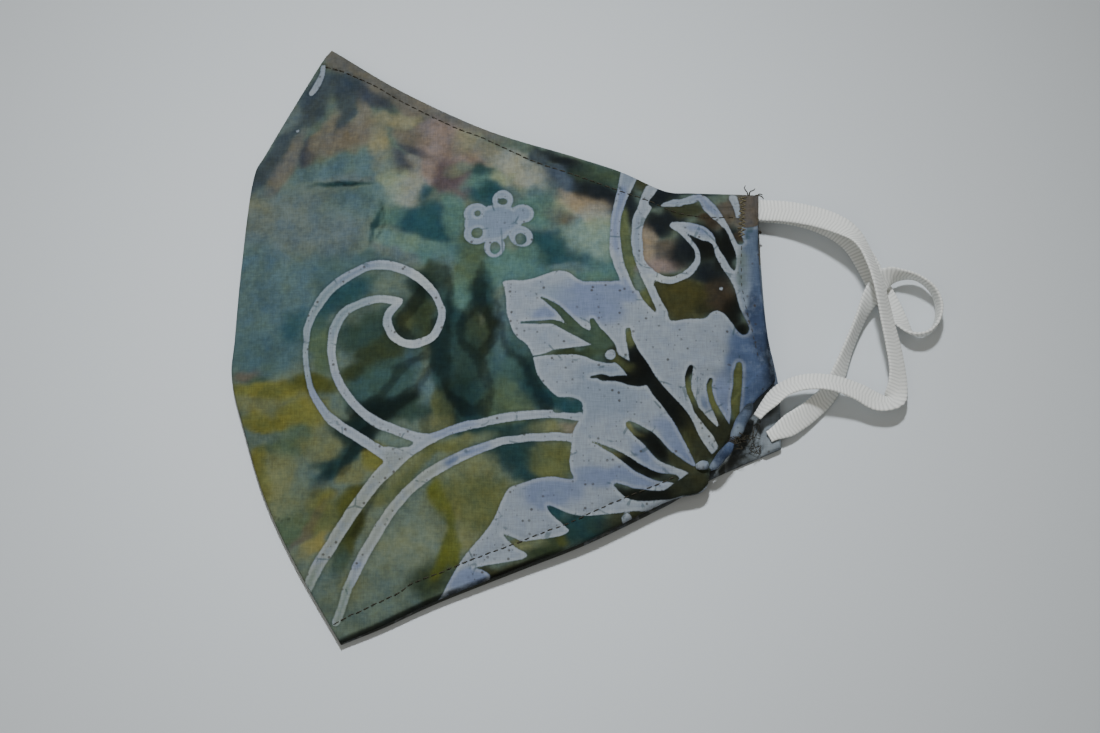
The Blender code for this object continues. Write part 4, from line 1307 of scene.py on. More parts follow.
        (-34.8, -43.2, 5.2, 2.2, 55, 1.2), (14.5, -51.9, 1.9, 1.2, 0, 0.9),
    ],
    "ochre": [(-44.5, -52.4, 2.8, 1.7, 45, 1.1)],
    "greyMoss": [
        (-47.4, -56.3, 2.8, 4.5, -30, 1.1), (-24.1, -51.6, 7.6, 7.0, 0, 1.2),
        (-11.3, 40.6, 2.0, 1.8, 0, 1.4),
    ],
    "mossGold": [
        (-14.6, -42.0, 1.3, 3.0, 15, 1.3), (-12.6, -47.4, 1.2, 4.2, 6, 1.6),
        (-12.2, -53.4, 1.2, 4.2, -4, 1.5), (-13.8, -58.6, 1.2, 3.0, -16, 1.3),
    ],
    "blackBrown": [
        (31.9, -11.5, 5.7, 4.5, 0, 1.6), (25.3, -13.9, 3.8, 1.0, 0, 1.5), (38.9, -20.3, 3.8, 6.5, 35, 1.5),
        (43.7, -12.3, 1.4, 3.0, 0, 1.5), (48.7, -14.0, 0.9, 1.2, 0, 1.5), (35.3, -29.7, 4.7, 2.0, -42, 1.5),
        (31.8, -34.6, 5.2, 1.5, -30, 1.5), (32.9, -41.3, 5.7, 1.7, 0, 1.4), (48.0, 19.9, 3.8, 3.5, 0, 1.6),
        (53.0, 18.5, 1.7, 5.5, -15, 1.7), (53.5, 3.1, 2.4, 4.5, -25, 1.4), (56.6, -1.3, 1.7, 2.0, 0, 1.5),
    ],
    "deepOlive": [
        (44.3, -27.4, 2.8, 5.0, 35, 1.4), (46.7, -23.1, 1.7, 2.5, 35, 1.2),
        (42.3, -33.6, 3.3, 1.7, -30, 1.2), (28.2, -47.2, 6.2, 2.5, 15, 1.4),
        (-0.8, -59.2, 5.2, 1.7, 10, 1.2), (44.7, 29.4, 3.8, 2.0, 0, 1.2), (32.7, 37.1, 2.1, 1.7, 0, 0.9),
    ],
    "oliveDark": [
        (51.8, -25.8, 3.8, 2.5, 0, 1.4), (48.7, -30.7, 2.4, 2.5, 0, 1.2), (43.4, -38.9, 5.2, 2.5, 15, 1.4),
        (46.6, 2.9, 2.6, 1.8, -10, 1.2),
    ],
    "scrollOlive": [(29.1, 23.3, 1.6, 6.0, 0, 1.8), (30.4, 15.2, 1.9, 5.0, -10, 1.8)],
    "umber": [
        (49.9, 25.5, 1.9, 1.7, -30, 1.2), (50.2, 5.8, 3.6, 4.0, 0, 1.2), (57.0, 22.5, 1.4, 2.2, 0, 0.9),
    ],
    "mustardOlive": [(41.4, 5.2, 5.6, 4.6, 0, 1.8)],
    "tabBrown": [(59.6, 31.0, 3.0, 7.0, 0, 2.2)],
})
waxPools = madePools({
    "greyTeal": [(55.8, 13.2, 1.3, 3.2, 0, 1.8)],
    "navy": [
        (58.9, 5.4, 1.5, 4.4, 0, 3.0), (61.4, -8.6, 1.9, 6.5, 12, 1.3), (60.1, -2.6, 1.6, 6.5, 0, 1.5),
    ],
    "tubeDark": [(63.2, -9.0, 1.3, 4.0, 10, 3.2)],
    "deepOlive": [(64.4, -12.8, 1.3, 2.6, 0, 3.0)],
    "waxBlue": [
        (27.7, 32.1, 1.6, 2.8, 0, 1.4), (19.1, 5.4, 6.2, 3.2, -15, 1.3), (22.7, 8.5, 5.2, 2.0, 0, 0.8),
        (9.6, 2.5, 3.3, 1.7, 30, 0.6), (28.6, 7.9, 3.3, 2.5, 20, 0.5), (27.2, 25.2, 1.9, 5.5, 0, 0.7),
        (48.1, 23.5, 2.8, 1.5, -20, 1.1), (50.1, 31.3, 3.8, 1.5, -40, 0.9), (52.0, -18.6, 2.4, 4.5, 0, 1.1),
        (43.5, -31.3, 4.3, 2.2, -25, 1.3), (39.3, -26.2, 3.3, 2.0, -30, 0.7),
        (29.4, -37.0, 7.1, 2.2, 0, 0.9), (22.4, -37.5, 5.7, 2.0, 0, 0.7), (10.8, -40.3, 5.2, 3.0, 0, 0.7),
        (-6.6, -61.0, 6.2, 1.7, 15, 1.0), (-37.5, 13.5, 6.2, 2.0, 30, 0.6),
        (-44.7, -17.7, 2.8, 4.5, -20, 0.8), (-12.7, -24.9, 4.3, 1.5, 10, 0.6),
        (-8.0, -30.7, 3.3, 1.5, 20, 0.6), (-1.3, 26.2, 2.8, 2.0, 0, 0.6), (-43.4, -56.0, 1.6, 1.2, 0, 0.9),
        (-34.5, -56.1, 1.4, 1.2, 0, 0.9), (33.0, -32.0, 2.6, 1.4, -30, 0.7),
    ],
    "waxSlate": [
        (13.1, 7.5, 4.3, 2.0, -20, 0.6), (32.4, 22.5, 1.9, 5.0, 0, 0.5), (29.0, 37.2, 2.8, 2.0, 0, 0.9),
        (56.5, 8.1, 1.7, 6.5, -10, 0.6), (22.5, -19.2, 7.1, 4.0, 0, 0.5), (-1.3, 25.4, 3.8, 3.5, 0, 0.6),
        (44.8, 31.8, 5.7, 1.2, 0, 0.6), (-47.3, 66.9, 2.4, 4.0, 20, 0.8),
        (-43.0, -20.4, 2.0, 1.6, -40, 1.0), (24.0, -12.0, 5.0, 1.6, 10, 0.7),
    ],
    "denimGrey": [
        (59.8, 17.0, 2.6, 9.5, 0, 2.0), (-47.2, -9.7, 1.4, 1.1, 0, 1.6), (-46.4, -14.0, 1.6, 1.6, 0, 1.4),
    ],
    "denim": [
        (60.1, 5.8, 2.1, 9.0, 0, 1.6), (57.6, -10.1, 3.8, 8.5, 0, 1.6), (62.6, -4.8, 2.4, 8.5, 10, 1.2),
        (59.2, -19.1, 3.8, 3.5, 0, 1.2), (47.9, -21.6, 1.4, 3.0, -20, 0.9),
        (43.5, -32.2, 2.4, 1.2, -20, 0.8), (-34.5, -40.8, 1.3, 0.8, 40, 0.9),
        (-13.1, -33.5, 1.0, 1.3, 0, 0.8),
    ],
    "chalkWax": [
        (46.0, -24.8, 1.9, 4.0, -35, 1.2), (48.7, -28.2, 1.4, 3.0, -30, 1.0),
        (-19.4, 10.2, 3.8, 2.0, -35, 1.0), (-22.0, -4.2, 5.2, 2.0, 0, 1.0), (-27.6, 5.9, 3.3, 2.0, 0, 0.6),
        (37.0, 11.0, 4.7, 1.2, 0, 0.8), (-38.9, -4.3, 2.4, 3.5, 0, 0.3),
    ],
    "stemEnd": [(-45.4, -61.6, 2.4, 3.6, -25, 2.6), (-37.4, -67.2, 2.2, 4.6, -10, 2.8)],
    "stemGrey": [(-37.0, -49.5, 15.0, 5.0, 58, 1.4), (-24.0, -42.0, 13.0, 3.0, 48, 1.2)],
    "hookTeal": [(-39.0, 7.0, 9.0, 8.0, 0, 1.3), (-47.4, -6.0, 2.6, 9.0, 0, 0.8)],
    "tubeBlue": [(-47.7, -2.6, 1.5, 1.0, 0, 1.6)],
    "blossomBlue": [(-1.8, 26.0, 8.0, 7.4, 0, 2.2)],
})


# left half, which lies on top and shows the print
leftDye = {
    "ear": 0.62,           # how dark the painted shade along the ear edge is
    "earWidth": 0.8,
    "earBelow": 24.0,
    "earBlend": 5.0,
    "chin": 0.86,          # how dark the turned chin edge is: painted shade, with the hem's darker cloth
    "chinWidth": 0.7,
    "chinPower": 6,
    "chinWider": 0.5,      # how much wider that line is about halfway along
    "widerAt": -26.0,
    "widerReach": 14.0,
    "chinTo": 16.0,
    "chinBlend": 8.0,
    "innerShade": 0.12,        # painted shade: share of the dye's colour left on the inner face near the chin
    "innerShadeFrom": 3.0,
    "innerShadeBlend": 4.0,
}

across, up, place = halfGrid(upperHalf, clothSet["columns"], clothSet["rows"])
under = underHeights(upperHalf, across, up, place)
gaps = {edge: gap for edge, (gap, along) in edgeGaps(upperHalf, place).items()}
rimGap = np.minimum.reduce(list(gaps.values()))
stitchLines = {"nose": noseStitchLine, "chin": chinStitchLine, "ear": earStitchLine}
relief = hemRelief([
    (gaps[edge], hemLook[edge], *lineDistance(place, smoothRun(line))) for edge, line in stitchLines.items()
])
for high, wide, seed in clothHills:
    relief += high * softNoise(place, wide, seed)
over = under + clothSet["wall"] + relief * smoothStep(rimGap / hemLook["fade"])
rimDrop = roundedRim(rimGap)
leftCloth, leftKinds = closedCloth(
    "leftHalf",
    np.dstack([place, over - rimDrop]),
    np.dstack([place, under - hemLayer(gaps["ear"]) + rimDrop]),
)
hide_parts("left_panel", "left_side_hem")
leftPlace, leftOver = place, over - rimDrop
printCloth(leftCloth, facePlaces(place))
# painted shade along the ear edge below the nose corner, and a dark line along the chin edge that is
# painted shade with the hem's darker cloth
byEar = np.exp(-((gaps["ear"] / leftDye["earWidth"]) ** 2))
lowDown = smoothStep((leftDye["earBelow"] - place[..., 1]) / leftDye["earBlend"])
earShade = 1.0 - leftDye["ear"] * byEar * lowDown
halfway = np.exp(-(((place[..., 0] - leftDye["widerAt"]) / leftDye["widerReach"]) ** 2))
chinWidth = leftDye["chinWidth"] + leftDye["chinWider"] * halfway
byChin = np.exp(-((gaps["chin"] / chinWidth) ** leftDye["chinPower"]))
nearSeam = smoothStep((leftDye["chinTo"] - place[..., 0]) / leftDye["chinBlend"])
chinLine = 1.0 - leftDye["chin"] * byChin * nearSeam
# painted shade on the inner face near the chin, in the gap between the halves
innerEdge = smoothStep((gaps["chin"][::2, ::2] - leftDye["innerShadeFrom"]) / leftDye["innerShadeBlend"])
innerShare = leftDye["innerShade"] + (1.0 - leftDye["innerShade"]) * innerEdge
paintShadeOnCloth(leftCloth, np.concatenate([(earShade * chinLine).ravel(), innerShare.ravel()]))
print("left half has", len(leftCloth.data.polygons), "faces")


# right half, which lies on the floor
rightPrint = {
    "scale": (1.0, 0.8),   # where the hidden half's print comes from on the visible one
    "shift": (-3.0, 10.8),
    "cornerFrom": (55.0, -12.0),
    "cornerBlend": (2.0, 3.0),
    "cornerScale": (0.3, 0.2),    # the outer corner alone lies on plain waxed cotton
    "cornerShift": (31.0, -2.6),
}
rightDye = {
    "face": 0.05,          # painted shade in the gap under the upper half: share of the dye's colour left on the turned chin hem
    "faceFrom": 6.5,
    "faceBlend": 3.0,
    "cornerFrom": 57.6,
    "cornerBlend": 3.2,
    # painted shade on the rim along the chin
    "innerShade": 0.12,
    "innerShadeFrom": 0.4,
    "innerShadeBlend": 0.8,
    "shade": 0.92,         # how dark the corner's shaded folds are
    "shadeFrom": 1.6,
    "shadeSlope": 1.2,
}

across, up, place = halfGrid(lowerHalf, clothSet["lowerColumns"], clothSet["lowerRows"])
gaps = edgeGaps(lowerHalf, place)
rimGap = np.minimum.reduce([gap for gap, along in gaps.values()])
relief = hemRelief([
    (gap, hemLook[edge], np.abs(gap - hemLook[edge]), along)
    for edge, (gap, along) in gaps.items() if edge in ("nose", "chin")
])
over = clothSet["wall"] + hemLayer(gaps["ear"][0]) + relief * smoothStep(rimGap / hemLook["fade"])
rimDrop = roundedRim(rimGap)
# the turned chin hem shows a little below the upper half; the painted shade put on it further down makes it
# a dark line
peepFrom = smoothStep(across / clothSet["peepFrom"])
peepTo = smoothStep((clothSet["peepTo"] - across) / clothSet["peepFade"])
peep = clothSet["chinPeep"] * peepFrom * peepTo * (1.0 - up) ** clothSet["peepPower"]
place = place + peep[..., None] * np.array(clothSet["chinOut"])
rightCloth, rightKinds = closedCloth(
    "rightHalf",
    np.dstack([place, over - rimDrop]),
    np.dstack([place, rimDrop]),
)
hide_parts("right_panel", "right_side_hem")
rightPlace = place
rightPlaces = facePlaces(place)
printPlaces = rightPlaces * rightPrint["scale"] + rightPrint["shift"]
outward = rightPlaces - rightPrint["cornerFrom"]
showing = (smoothStep(outward[:, 0] / rightPrint["cornerBlend"][0])
           * smoothStep(-outward[:, 1] / rightPrint["cornerBlend"][1]))
showing[rightPlace[..., 0].size:] = 0.0
cornerPlaces = rightPlaces * rightPrint["cornerScale"] + rightPrint["cornerShift"]
printPlaces += showing[:, None] * (cornerPlaces - printPlaces)
printCloth(rightCloth, printPlaces)
# painted shade on the outer face under the upper half's chin edge, and painted shadow in the corner between
# the loops
chinGap = gaps["chin"][0]
pastHem = smoothStep((chinGap - rightDye["faceFrom"]) / rightDye["faceBlend"])
pastSide = smoothStep((place[..., 0] - rightDye["cornerFrom"]) / rightDye["cornerBlend"])
faceShare = rightDye["face"] + (1.0 - rightDye["face"]) * np.maximum(pastHem, pastSide)
for shade in cornerShades:
    away = ovalShares(place.reshape(-1, 2), shade).reshape(faceShare.shape)
    inside = smoothStep(rightDye["shadeFrom"] - rightDye["shadeSlope"] * away)
    faceShare = faceShare * (1.0 - rightDye["shade"] * inside)
# painted shade on the rim along the chin
innerEdge = smoothStep((chinGap[::2, ::2] - rightDye["innerShadeFrom"]) / rightDye["innerShadeBlend"])
innerShare = rightDye["innerShade"] + (1.0 - rightDye["innerShade"]) * innerEdge
paintShadeOnCloth(rightCloth, np.concatenate([faceShare.ravel(), innerShare.ravel()]))
print("right half has", len(rightCloth.data.polygons), "faces")


# dyed cotton

weaveLook = {
    "slubScale": (3.6, 0.35, 1.0),
    "slub": 0.55,
    "bump": 0.00012,       # metres
    "light": 0.25,         # range of the slubs' noise, and how far it lights and shades the dye
    "shade": 0.14,
}


def makeWeaveGroup():
    group, given, result = newGroup(
        "clothWeave",
        [("Pitch", "NodeSocketFloat", 0.3), ("Slub", "NodeSocketFloat", 0.5)],
        [("Height", "NodeSocketFloat"), ("Shade", "NodeSocketFloat")],
    )
    spot = objectPlace(group)
    parts = addNode(group, "ShaderNodeSeparateXYZ", None, {"Vector": spot}).outputs
    rate = mathNode(group, "DIVIDE", 2 * math.pi, given["Pitch"])
    warp, weft = [mathNode(group, "SINE", mathNode(group, "MULTIPLY", parts[axis], rate)) for axis in "XY"]
    crossing = mathNode(group, "MULTIPLY_ADD", mathNode(group, "MULTIPLY", warp, weft), 0.5, 0.5)
    long, short, deep = weaveLook["slubScale"]
    tall = noiseNode(group, stretched(group, spot, (long, short, deep)), 1.0).outputs["Fac"]
    wide = noiseNode(group, stretched(group, spot, (short, long, deep)), 1.0).outputs["Fac"]
    slubs = mathNode(group, "SUBTRACT", mathNode(group, "ADD", tall, wide), 1.0)
    height = mathNode(group, "MULTIPLY_ADD", slubs, given["Slub"], crossing)
    shade = mathNode(group, "MULTIPLY", slubs, given["Slub"])
    group.links.new(height, result["Height"])
    group.links.new(shade, result["Shade"])
    return group


# noises in the print, as scale, detail and roughness
printNoise = {
    "bleed": (1.3, 3.0, 0.6),
    "blotch": (0.16, 4.0, 0.62),
    "fine": (0.9, 3.0, 0.6),
    "tint": (0.24, 3.0, 0.62),
    "stain": (0.35, 5.0, 0.65),
}
# round spots in the wax: a channel of each spot's own random colour says whether it shows
PrintSpot = namedtuple("PrintSpot", "stretch scale inner outer channel rare common")
printSpots = {
    "speck": PrintSpot((1.0, 1.0, 1.0), 0.62, 0.12, 0.29, "Red", 0.60, 0.68),
    "dust": PrintSpot((1.0, 0.7, 1.0), 1.25, 0.12, 0.30, "Green", 0.80, 0.88),
}
printLook = {
    "bleed": 0.34,              # how far the wax's edge wanders, in mm, and where from
    "bleedFrom": -0.22,
    "edge": 0.13,
    "blotch": 0.9,
    "fine": 0.5,
    "warmth": 0.7,              # yellower here, bluer there
    "warmer": 0.35,
    "dyeRange": (0.35, 1.05),
    "redRange": (0.58, 1.20),
    "greenRange": (0.62, 1.18),
    "blueRange": (0.66, 1.14),
    "rimLine": 0.22,            # darker line where the dye ran up against the wax
    "rimFrom": (-0.75, -0.1),
    "rimTo": (-0.1, 0.1),
    "rimColour": (0.006, 0.010, 0.012, 1.0),
    "stain": 0.5,
    "stainRange": (0.42, 0.72),
    "whiter": 0.18,             # paler wax just inside its edge
    "whiterFrom": (0.0, 0.3),
    "whiterTo": (0.3, 1.2),
    "whiterColour": (0.42, 0.45, 0.46, 1.0),
    "crackScale": 0.13,
    "crackRange": (0.014, 0.040),
    "crackInWax": (1.2, 1.9),
    "crackWhere": (0.49, 0.57),
    "crack": 0.5,
    "dust": 0.7,
    "speck": 0.75,
    "speckStain": (0.36, 0.52, 0.25, 1.0),    # fewer specks where the wax isn't stained
}


def voronoiNode(tree, spot, scale, feature="F1"):
    return addNode(tree, "ShaderNodeTexVoronoi", {"feature": feature},
                   {"Vector": spot, "Scale": scale, "Randomness": 1.0}).outputs


def spotsNode(tree, spot, row):
    # round spots, shown where the spot's own colour is strong enough
    if row.stretch != (1.0, 1.0, 1.0):
        spot = stretched(tree, spot, row.stretch)
    cells = voronoiNode(tree, spot, row.scale)
    luck = addNode(tree, "ShaderNodeSeparateColor", None, {"Color": cells["Color"]}).outputs[row.channel]
    return mathNode(tree, "MULTIPLY", rangeNode(tree, cells["Distance"], row.inner, row.outer, 1.0, 0.0),
                    rangeNode(tree, luck, row.rare, row.common))


def layered(tree, mask, share, base, colour):
    # a colour laid over another by a share of a mask
    return mixColour(tree, mathNode(tree, "MULTIPLY", mask, share), base, colour)


def dyeSocket(name):
    return (*dyes[name], 1.0)


def makePrintGroup():
    look = printLook
    group, given, result = newGroup(
        "waxPrint",
        [("Fade", "NodeSocketFloat", 0.0)],
        [("Colour", "NodeSocketColor"), ("Wax", "NodeSocketFloat"), ("Stain", "NodeSocketFloat")],
    )
    spot = objectPlace(group)
    wax = attributeNode(group, "wax", "Fac")
    dye = attributeNode(group, "dye")
    waxDye = attributeNode(group, "waxDye")
    bleed, blotch, fine, tint, stain = [
        noiseNode(group, spot, *printNoise[name]).outputs["Fac"]
        for name in ("bleed", "blotch", "fine", "tint", "stain")
    ]
    wander = mathNode(group, "MULTIPLY_ADD", bleed, look["bleed"], look["bleedFrom"])
    ragged = mathNode(group, "ADD", wax, wander)
    mask = rangeNode(group, ragged, -look["edge"], look["edge"])

    # the dye: blotches, soft streaks, and a darker line where it ran up against the wax
    strength = mathNode(group, "ADD", mathNode(group, "MULTIPLY", blotch, look["blotch"]),
                        mathNode(group, "MULTIPLY", fine, look["fine"]))
    warmth = mathNode(group, "MULTIPLY_ADD", tint, look["warmth"], -look["warmth"] / 2)
    warmer = mathNode(group, "MULTIPLY_ADD", warmth, look["warmer"], strength)
    cooler = mathNode(group, "SUBTRACT", strength, warmth)
    shares = [
        rangeNode(group, value, *look["dyeRange"], *look[toRange])
        for value, toRange in ((warmer, "redRange"), (strength, "greenRange"), (cooler, "blueRange"))
    ]
    dyed = mixColour(group, 1.0, dye, threeParts(group, *shares), "MULTIPLY")
    rimLine = mathNode(group, "SUBTRACT", rangeNode(group, ragged, *look["rimFrom"]),
                       rangeNode(group, ragged, *look["rimTo"]))
    dyed = layered(group, rimLine, look["rimLine"], dyed, look["rimColour"])

    # the wax: faint stains, brown flecks, and hair cracks across the narrow lines
    stained = rangeNode(group, stain, *look["stainRange"], 0.0, look["stain"])
    pale = mixColour(group, stained, waxDye, dyeSocket("waxStain"))
    whiter = mathNode(group, "SUBTRACT", rangeNode(group, ragged, *look["whiterFrom"]),
                      rangeNode(group, ragged, *look["whiterTo"]))
    pale = layered(group, whiter, look["whiter"], pale, look["whiterColour"])
    cells = voronoiNode(group, spot, look["crackScale"], "DISTANCE_TO_EDGE")["Distance"]
    crack = mathNode(group, "MULTIPLY", rangeNode(group, cells, *look["crackRange"], 1.0, 0.0),
                     rangeNode(group, ragged, *look["crackInWax"], 1.0, 0.0))
    crack = mathNode(group, "MULTIPLY", crack, rangeNode(group, blotch, *look["crackWhere"]))
    pale = layered(group, crack, look["crack"], pale, dyeSocket("inkTeal"))
    speck, dust = [spotsNode(group, spot, printSpots[name]) for name in ("speck", "dust")]
    speck = mathNode(group, "MAXIMUM", speck, mathNode(group, "MULTIPLY", dust, look["dust"]))
    speck = mathNode(group, "MULTIPLY", speck, rangeNode(group, stain, *look["speckStain"]))
    pale = layered(group, speck, look["speck"], pale, dyeSocket("fleck"))

    colour = mixColour(group, mask, dyed, pale)
    faded = mixColour(group, given["Fade"], colour, dyeSocket("backCloth"))
    group.links.new(faded, result["Colour"])
    group.links.new(mask, result["Wax"])
    group.links.new(stain, result["Stain"])
    return group


weaveGroup = makeWeaveGroup()
printGroup = makePrintGroup()

cottonLook = {
    "batikCotton": {"fade": 0.0, "roughness": 0.86, "weave": 0.32, "bump": 0.30},
    "batikCottonBack": {"fade": 0.28, "roughness": 0.9, "weave": 0.32, "bump": 0.30},
    "specular": 0.08,
    "sheen": 0.02,
    "sheenRoughness": 0.5,
    "stainRough": 0.12,    # how much rougher the stained cloth is
}


def makeCotton(name):
    look = cottonLook[name]
    material, tree, shader = newMaterial(name, look["roughness"], cottonLook["specular"])
    shader.inputs["Sheen Weight"].default_value = cottonLook["sheen"]
    shader.inputs["Sheen Roughness"].default_value = cottonLook["sheenRoughness"]
    weave = addNode(tree, "ShaderNodeGroup", {"node_tree": weaveGroup},
                    {"Pitch": look["weave"], "Slub": weaveLook["slub"]})
    batik = addNode(tree, "ShaderNodeGroup", {"node_tree": printGroup}, {"Fade": look["fade"]})
    lit = rangeNode(tree, weave.outputs["Shade"], -weaveLook["light"], weaveLook["light"],
                    1.0 - weaveLook["shade"], 1.0 + weaveLook["shade"])
    shaded = mixColour(tree, 1.0, batik.outputs["Colour"], threeParts(tree, lit, lit, lit), "MULTIPLY")
    bump = addNode(tree, "ShaderNodeBump", None, {
        "Height": weave.outputs["Height"], "Strength": look["bump"], "Distance": weaveLook["bump"]})
    rough = mathNode(tree, "MULTIPLY_ADD", batik.outputs["Stain"], cottonLook["stainRough"],
                     look["roughness"] - cottonLook["stainRough"] / 2)
    tree.links.new(shaded, shader.inputs["Base Color"])
    tree.links.new(rough, shader.inputs["Roughness"])
    tree.links.new(bump.outputs["Normal"], shader.inputs["Normal"])
    return material


cotton = makeCotton("batikCotton")
cottonBack = makeCotton("batikCottonBack")
for cloth, kinds in ((leftCloth, leftKinds), (rightCloth, 1 - rightKinds)):
    cloth.data.materials.append(cotton)
    cloth.data.materials.append(cottonBack)
    cloth.data.polygons.foreach_set("material_index", np.clip(kinds, 0, 1).astype(np.int32))
print("cotton is dyed")


# sewn details: stitches, tacks, the rolled corner and thread ends, and a dark thread blob as painted shadow
# in the hem's opening
threadLook = {
    "radius": 0.115,       # mm
    "faint": 0.085,
    "colour": (0.034, 0.030, 0.020),
    "tack": (0.12, 0.105, 0.060),
    "roughness": 0.7,
    "specular": 0.25,
    "darker": 0.45,        # the fibres' colours as shares of the thread's
    "lighter": 1.7,
    "fibre": (4.0, 3.0, 0.6),     # noise scale, detail and roughness
    "fibreRange": (0.35, 0.7),
    "bump": 0.0001,
    "bumpStrength": 0.5,
}
# mm that a stitch's five points rise over the cloth, and the points it takes from its pitch
stitchLook = {
    "rises": (-0.264, 0.02, 0.10, 0.02, -0.264),
    "sway": 0.05,
    "swayTurn": 2.4,
    "points": 8,
    "long": [0, 1, 3, 5, 6],
    "short": [0, 1, 2, 4, 5],
}

leftTop = np.column_stack([leftPlace.reshape(-1, 2), leftOver.ravel()])


def topAt(spots):
    # height of the left half's outer face at each spot
    heights = []
    for spot in np.asarray(spots, dtype=float)[:, :2]:
        heights.append(leftTop[np.argmin(((leftTop[:, :2] - spot) ** 2).sum(axis=1)), 2])
    return np.array(heights)


def sweptRings(run, sides, lobes=0, lobeDepth=0.0, lobeTwist=0.35, sideHint=(0.13, 0.27, 0.95)):
    # rings of points round a run of x, y, z, radius rows
    forward = np.gradient(run[:, :3], axis=0)
    forward /= np.linalg.norm(forward, axis=1, keepdims=True) + 1e-12
    side = np.cross(forward[0], sideHint)
    turn = np.linspace(0.0, 2 * math.pi, sides, endpoint=False)
    rings = []
    for number, row in enumerate(run):
        side = side - forward[number] * (side @ forward[number])
        side /= np.linalg.norm(side)
        other = np.cross(forward[number], side)
        radius = row[3] * (1.0 + lobeDepth * np.cos(lobes * turn + number * lobeTwist))
        arms = np.cos(turn)[:, None] * side + np.sin(turn)[:, None] * other
        rings.append(row[:3] + radius[:, None] * arms)
    return np.array(rings)


def sweptFaces(ringCount, sides, start):
    faces = []
    for ring in range(ringCount - 1):
        for k in range(sides):
            a = start + ring * sides + k
            b = start + ring * sides + (k + 1) % sides
            faces.append((a, b, b + sides, a + sides))
    last = start + (ringCount - 1) * sides
    faces.append(tuple(start + k for k in range(sides - 1, -1, -1)))
    faces.append(tuple(last + k for k in range(sides)))
    return faces


def threadPiece(name, routes, sides=8, step=0.22, lobes=0, lobeDepth=0.0):
    # one piece of several closed tubes, each along rows of x, y, z, radius
    points, faces = [], []
    for rows in routes:
        run = smoothRun(rows, steps=8)
        run = evenRun(run, max(3, round(runLength(run) / step)))
        rings = sweptRings(run, sides, lobes, lobeDepth)
        faces += sweptFaces(len(rings), sides, len(points))
        points += rings.reshape(-1, 3).tolist()
    return meshPiece(name, np.array(points) * mm, faces)


def stitchRoutes(line, stitch="long", radius=threadLook["radius"]):
    run = smoothRun(line, steps=10)
    count = round(runLength(run, axes=2) / hemLook["stitch"])
    points = stitchLook["points"]
    spots = evenRun(run, count * points, axes=2)
    rises = np.array(stitchLook["rises"])
    routes = []
    for number in range(count):
        rows = spots[number * points:(number + 1) * points][stitchLook[stitch]]
        heights = topAt(rows)
        level = max(heights[1:4].max(), heights.mean())
        sway = stitchLook["sway"] * math.sin(number * stitchLook["swayTurn"])
        thickness = np.full(len(rows), radius)
        routes.append(np.column_stack([rows[:, 0] + sway, rows[:, 1] - sway, level + rises, thickness]))
    return routes


noseStitches = threadPiece("noseHemStitches", stitchRoutes(noseStitchLine))
chinStitches = threadPiece("chinHemStitches", stitchRoutes(chinStitchLine))
earStitches = threadPiece("earHemStitches", stitchRoutes(earStitchLine, "short", threadLook["faint"]))

# close zigzag tack that holds the loop's end in the nose corner
tackSet = {
    "from": (57.7, 33.4),
    "to": (57.0, 22.6),
    "width": 1.8,
    "threads": 19,
    "radius": 0.13,
    "slant": 0.30,
    "slantBy": 0.12,       # how far chance changes the slant, the width and the height
    "widthBy": (0.75, 1.1),
    "heightBy": (0.05, 0.2),
    "endDrop": 0.30,
}
start, end = np.array(tackSet["from"]), np.array(tackSet["to"])
tackRoutes = []
chance = np.random.RandomState(5)
for number in range(tackSet["threads"]):
    middle = start + (end - start) * number / (tackSet["threads"] - 1)
    slant = tackSet["slant"] * (-1) ** number + chance.uniform(-tackSet["slantBy"], tackSet["slantBy"])
    reach = tackSet["width"] / 2 * chance.uniform(*tackSet["widthBy"])
    spots = [middle + (-reach, -slant), middle, middle + (reach, slant)]
    level = topAt(spots).max() + chance.uniform(*tackSet["heightBy"])
    drops = (tackSet["endDrop"], 0.0, tackSet["endDrop"])
    tackRoutes.append([(*spot, level - drop, tackSet["radius"]) for spot, drop in zip(spots, drops)])
cornerTack = threadPiece("noseCornerTack", tackRoutes)

# the chin hem rolls up into a cord near the ear corner, and dark thread pinches it: x, y, z, radius
rollRows = [
    (58.4, -19.0, 6.2, 0.5), (57.8, -20.0, 6.6, 1.0), (56.9, -21.5, 7.0, 1.3), (56.1, -23.1, 7.3, 1.4),
    (55.2, -24.8, 7.4, 1.4), (54.5, -26.4, 7.4, 1.3), (53.8, -27.8, 7.3, 0.8), (53.3, -28.9, 7.3, 0.75),
    (52.5, -30.1, 7.4, 1.15), (51.4, -31.5, 7.4, 1.2), (50.2, -33.0, 7.3, 1.15), (49.0, -34.3, 7.1, 0.95),
    (48.2, -35.0, 6.9, 0.5),
]
puffRows = [
    (44.9, -34.5, 7.0, 0.5), (45.7, -34.4, 7.2, 0.95), (46.7, -34.2, 7.3, 1.1), (47.7, -34.0, 7.2, 0.8),
]
rolledHem = threadPiece(
    "rolledCornerHem", [rollRows, puffRows], sides=36, step=0.28, lobes=3, lobeDepth=0.07)


def tangle(centre, size, seed, turns=9, radius=0.16):
    # one thread that wanders about inside an egg-shaped space
    chance = np.random.RandomState(seed)
    rows = []
    for number in range(turns):
        spot = chance.uniform(-1.0, 1.0, 3)
        spot /= max(1.0, np.linalg.norm(spot))
        rows.append((*(np.array(centre) + spot * size), radius))
    return rows


wrapSet = {"width": 1.9, "stray": 0.14, "loose": (0.92, 1.15), "points": 8}    # mm, and points a turn


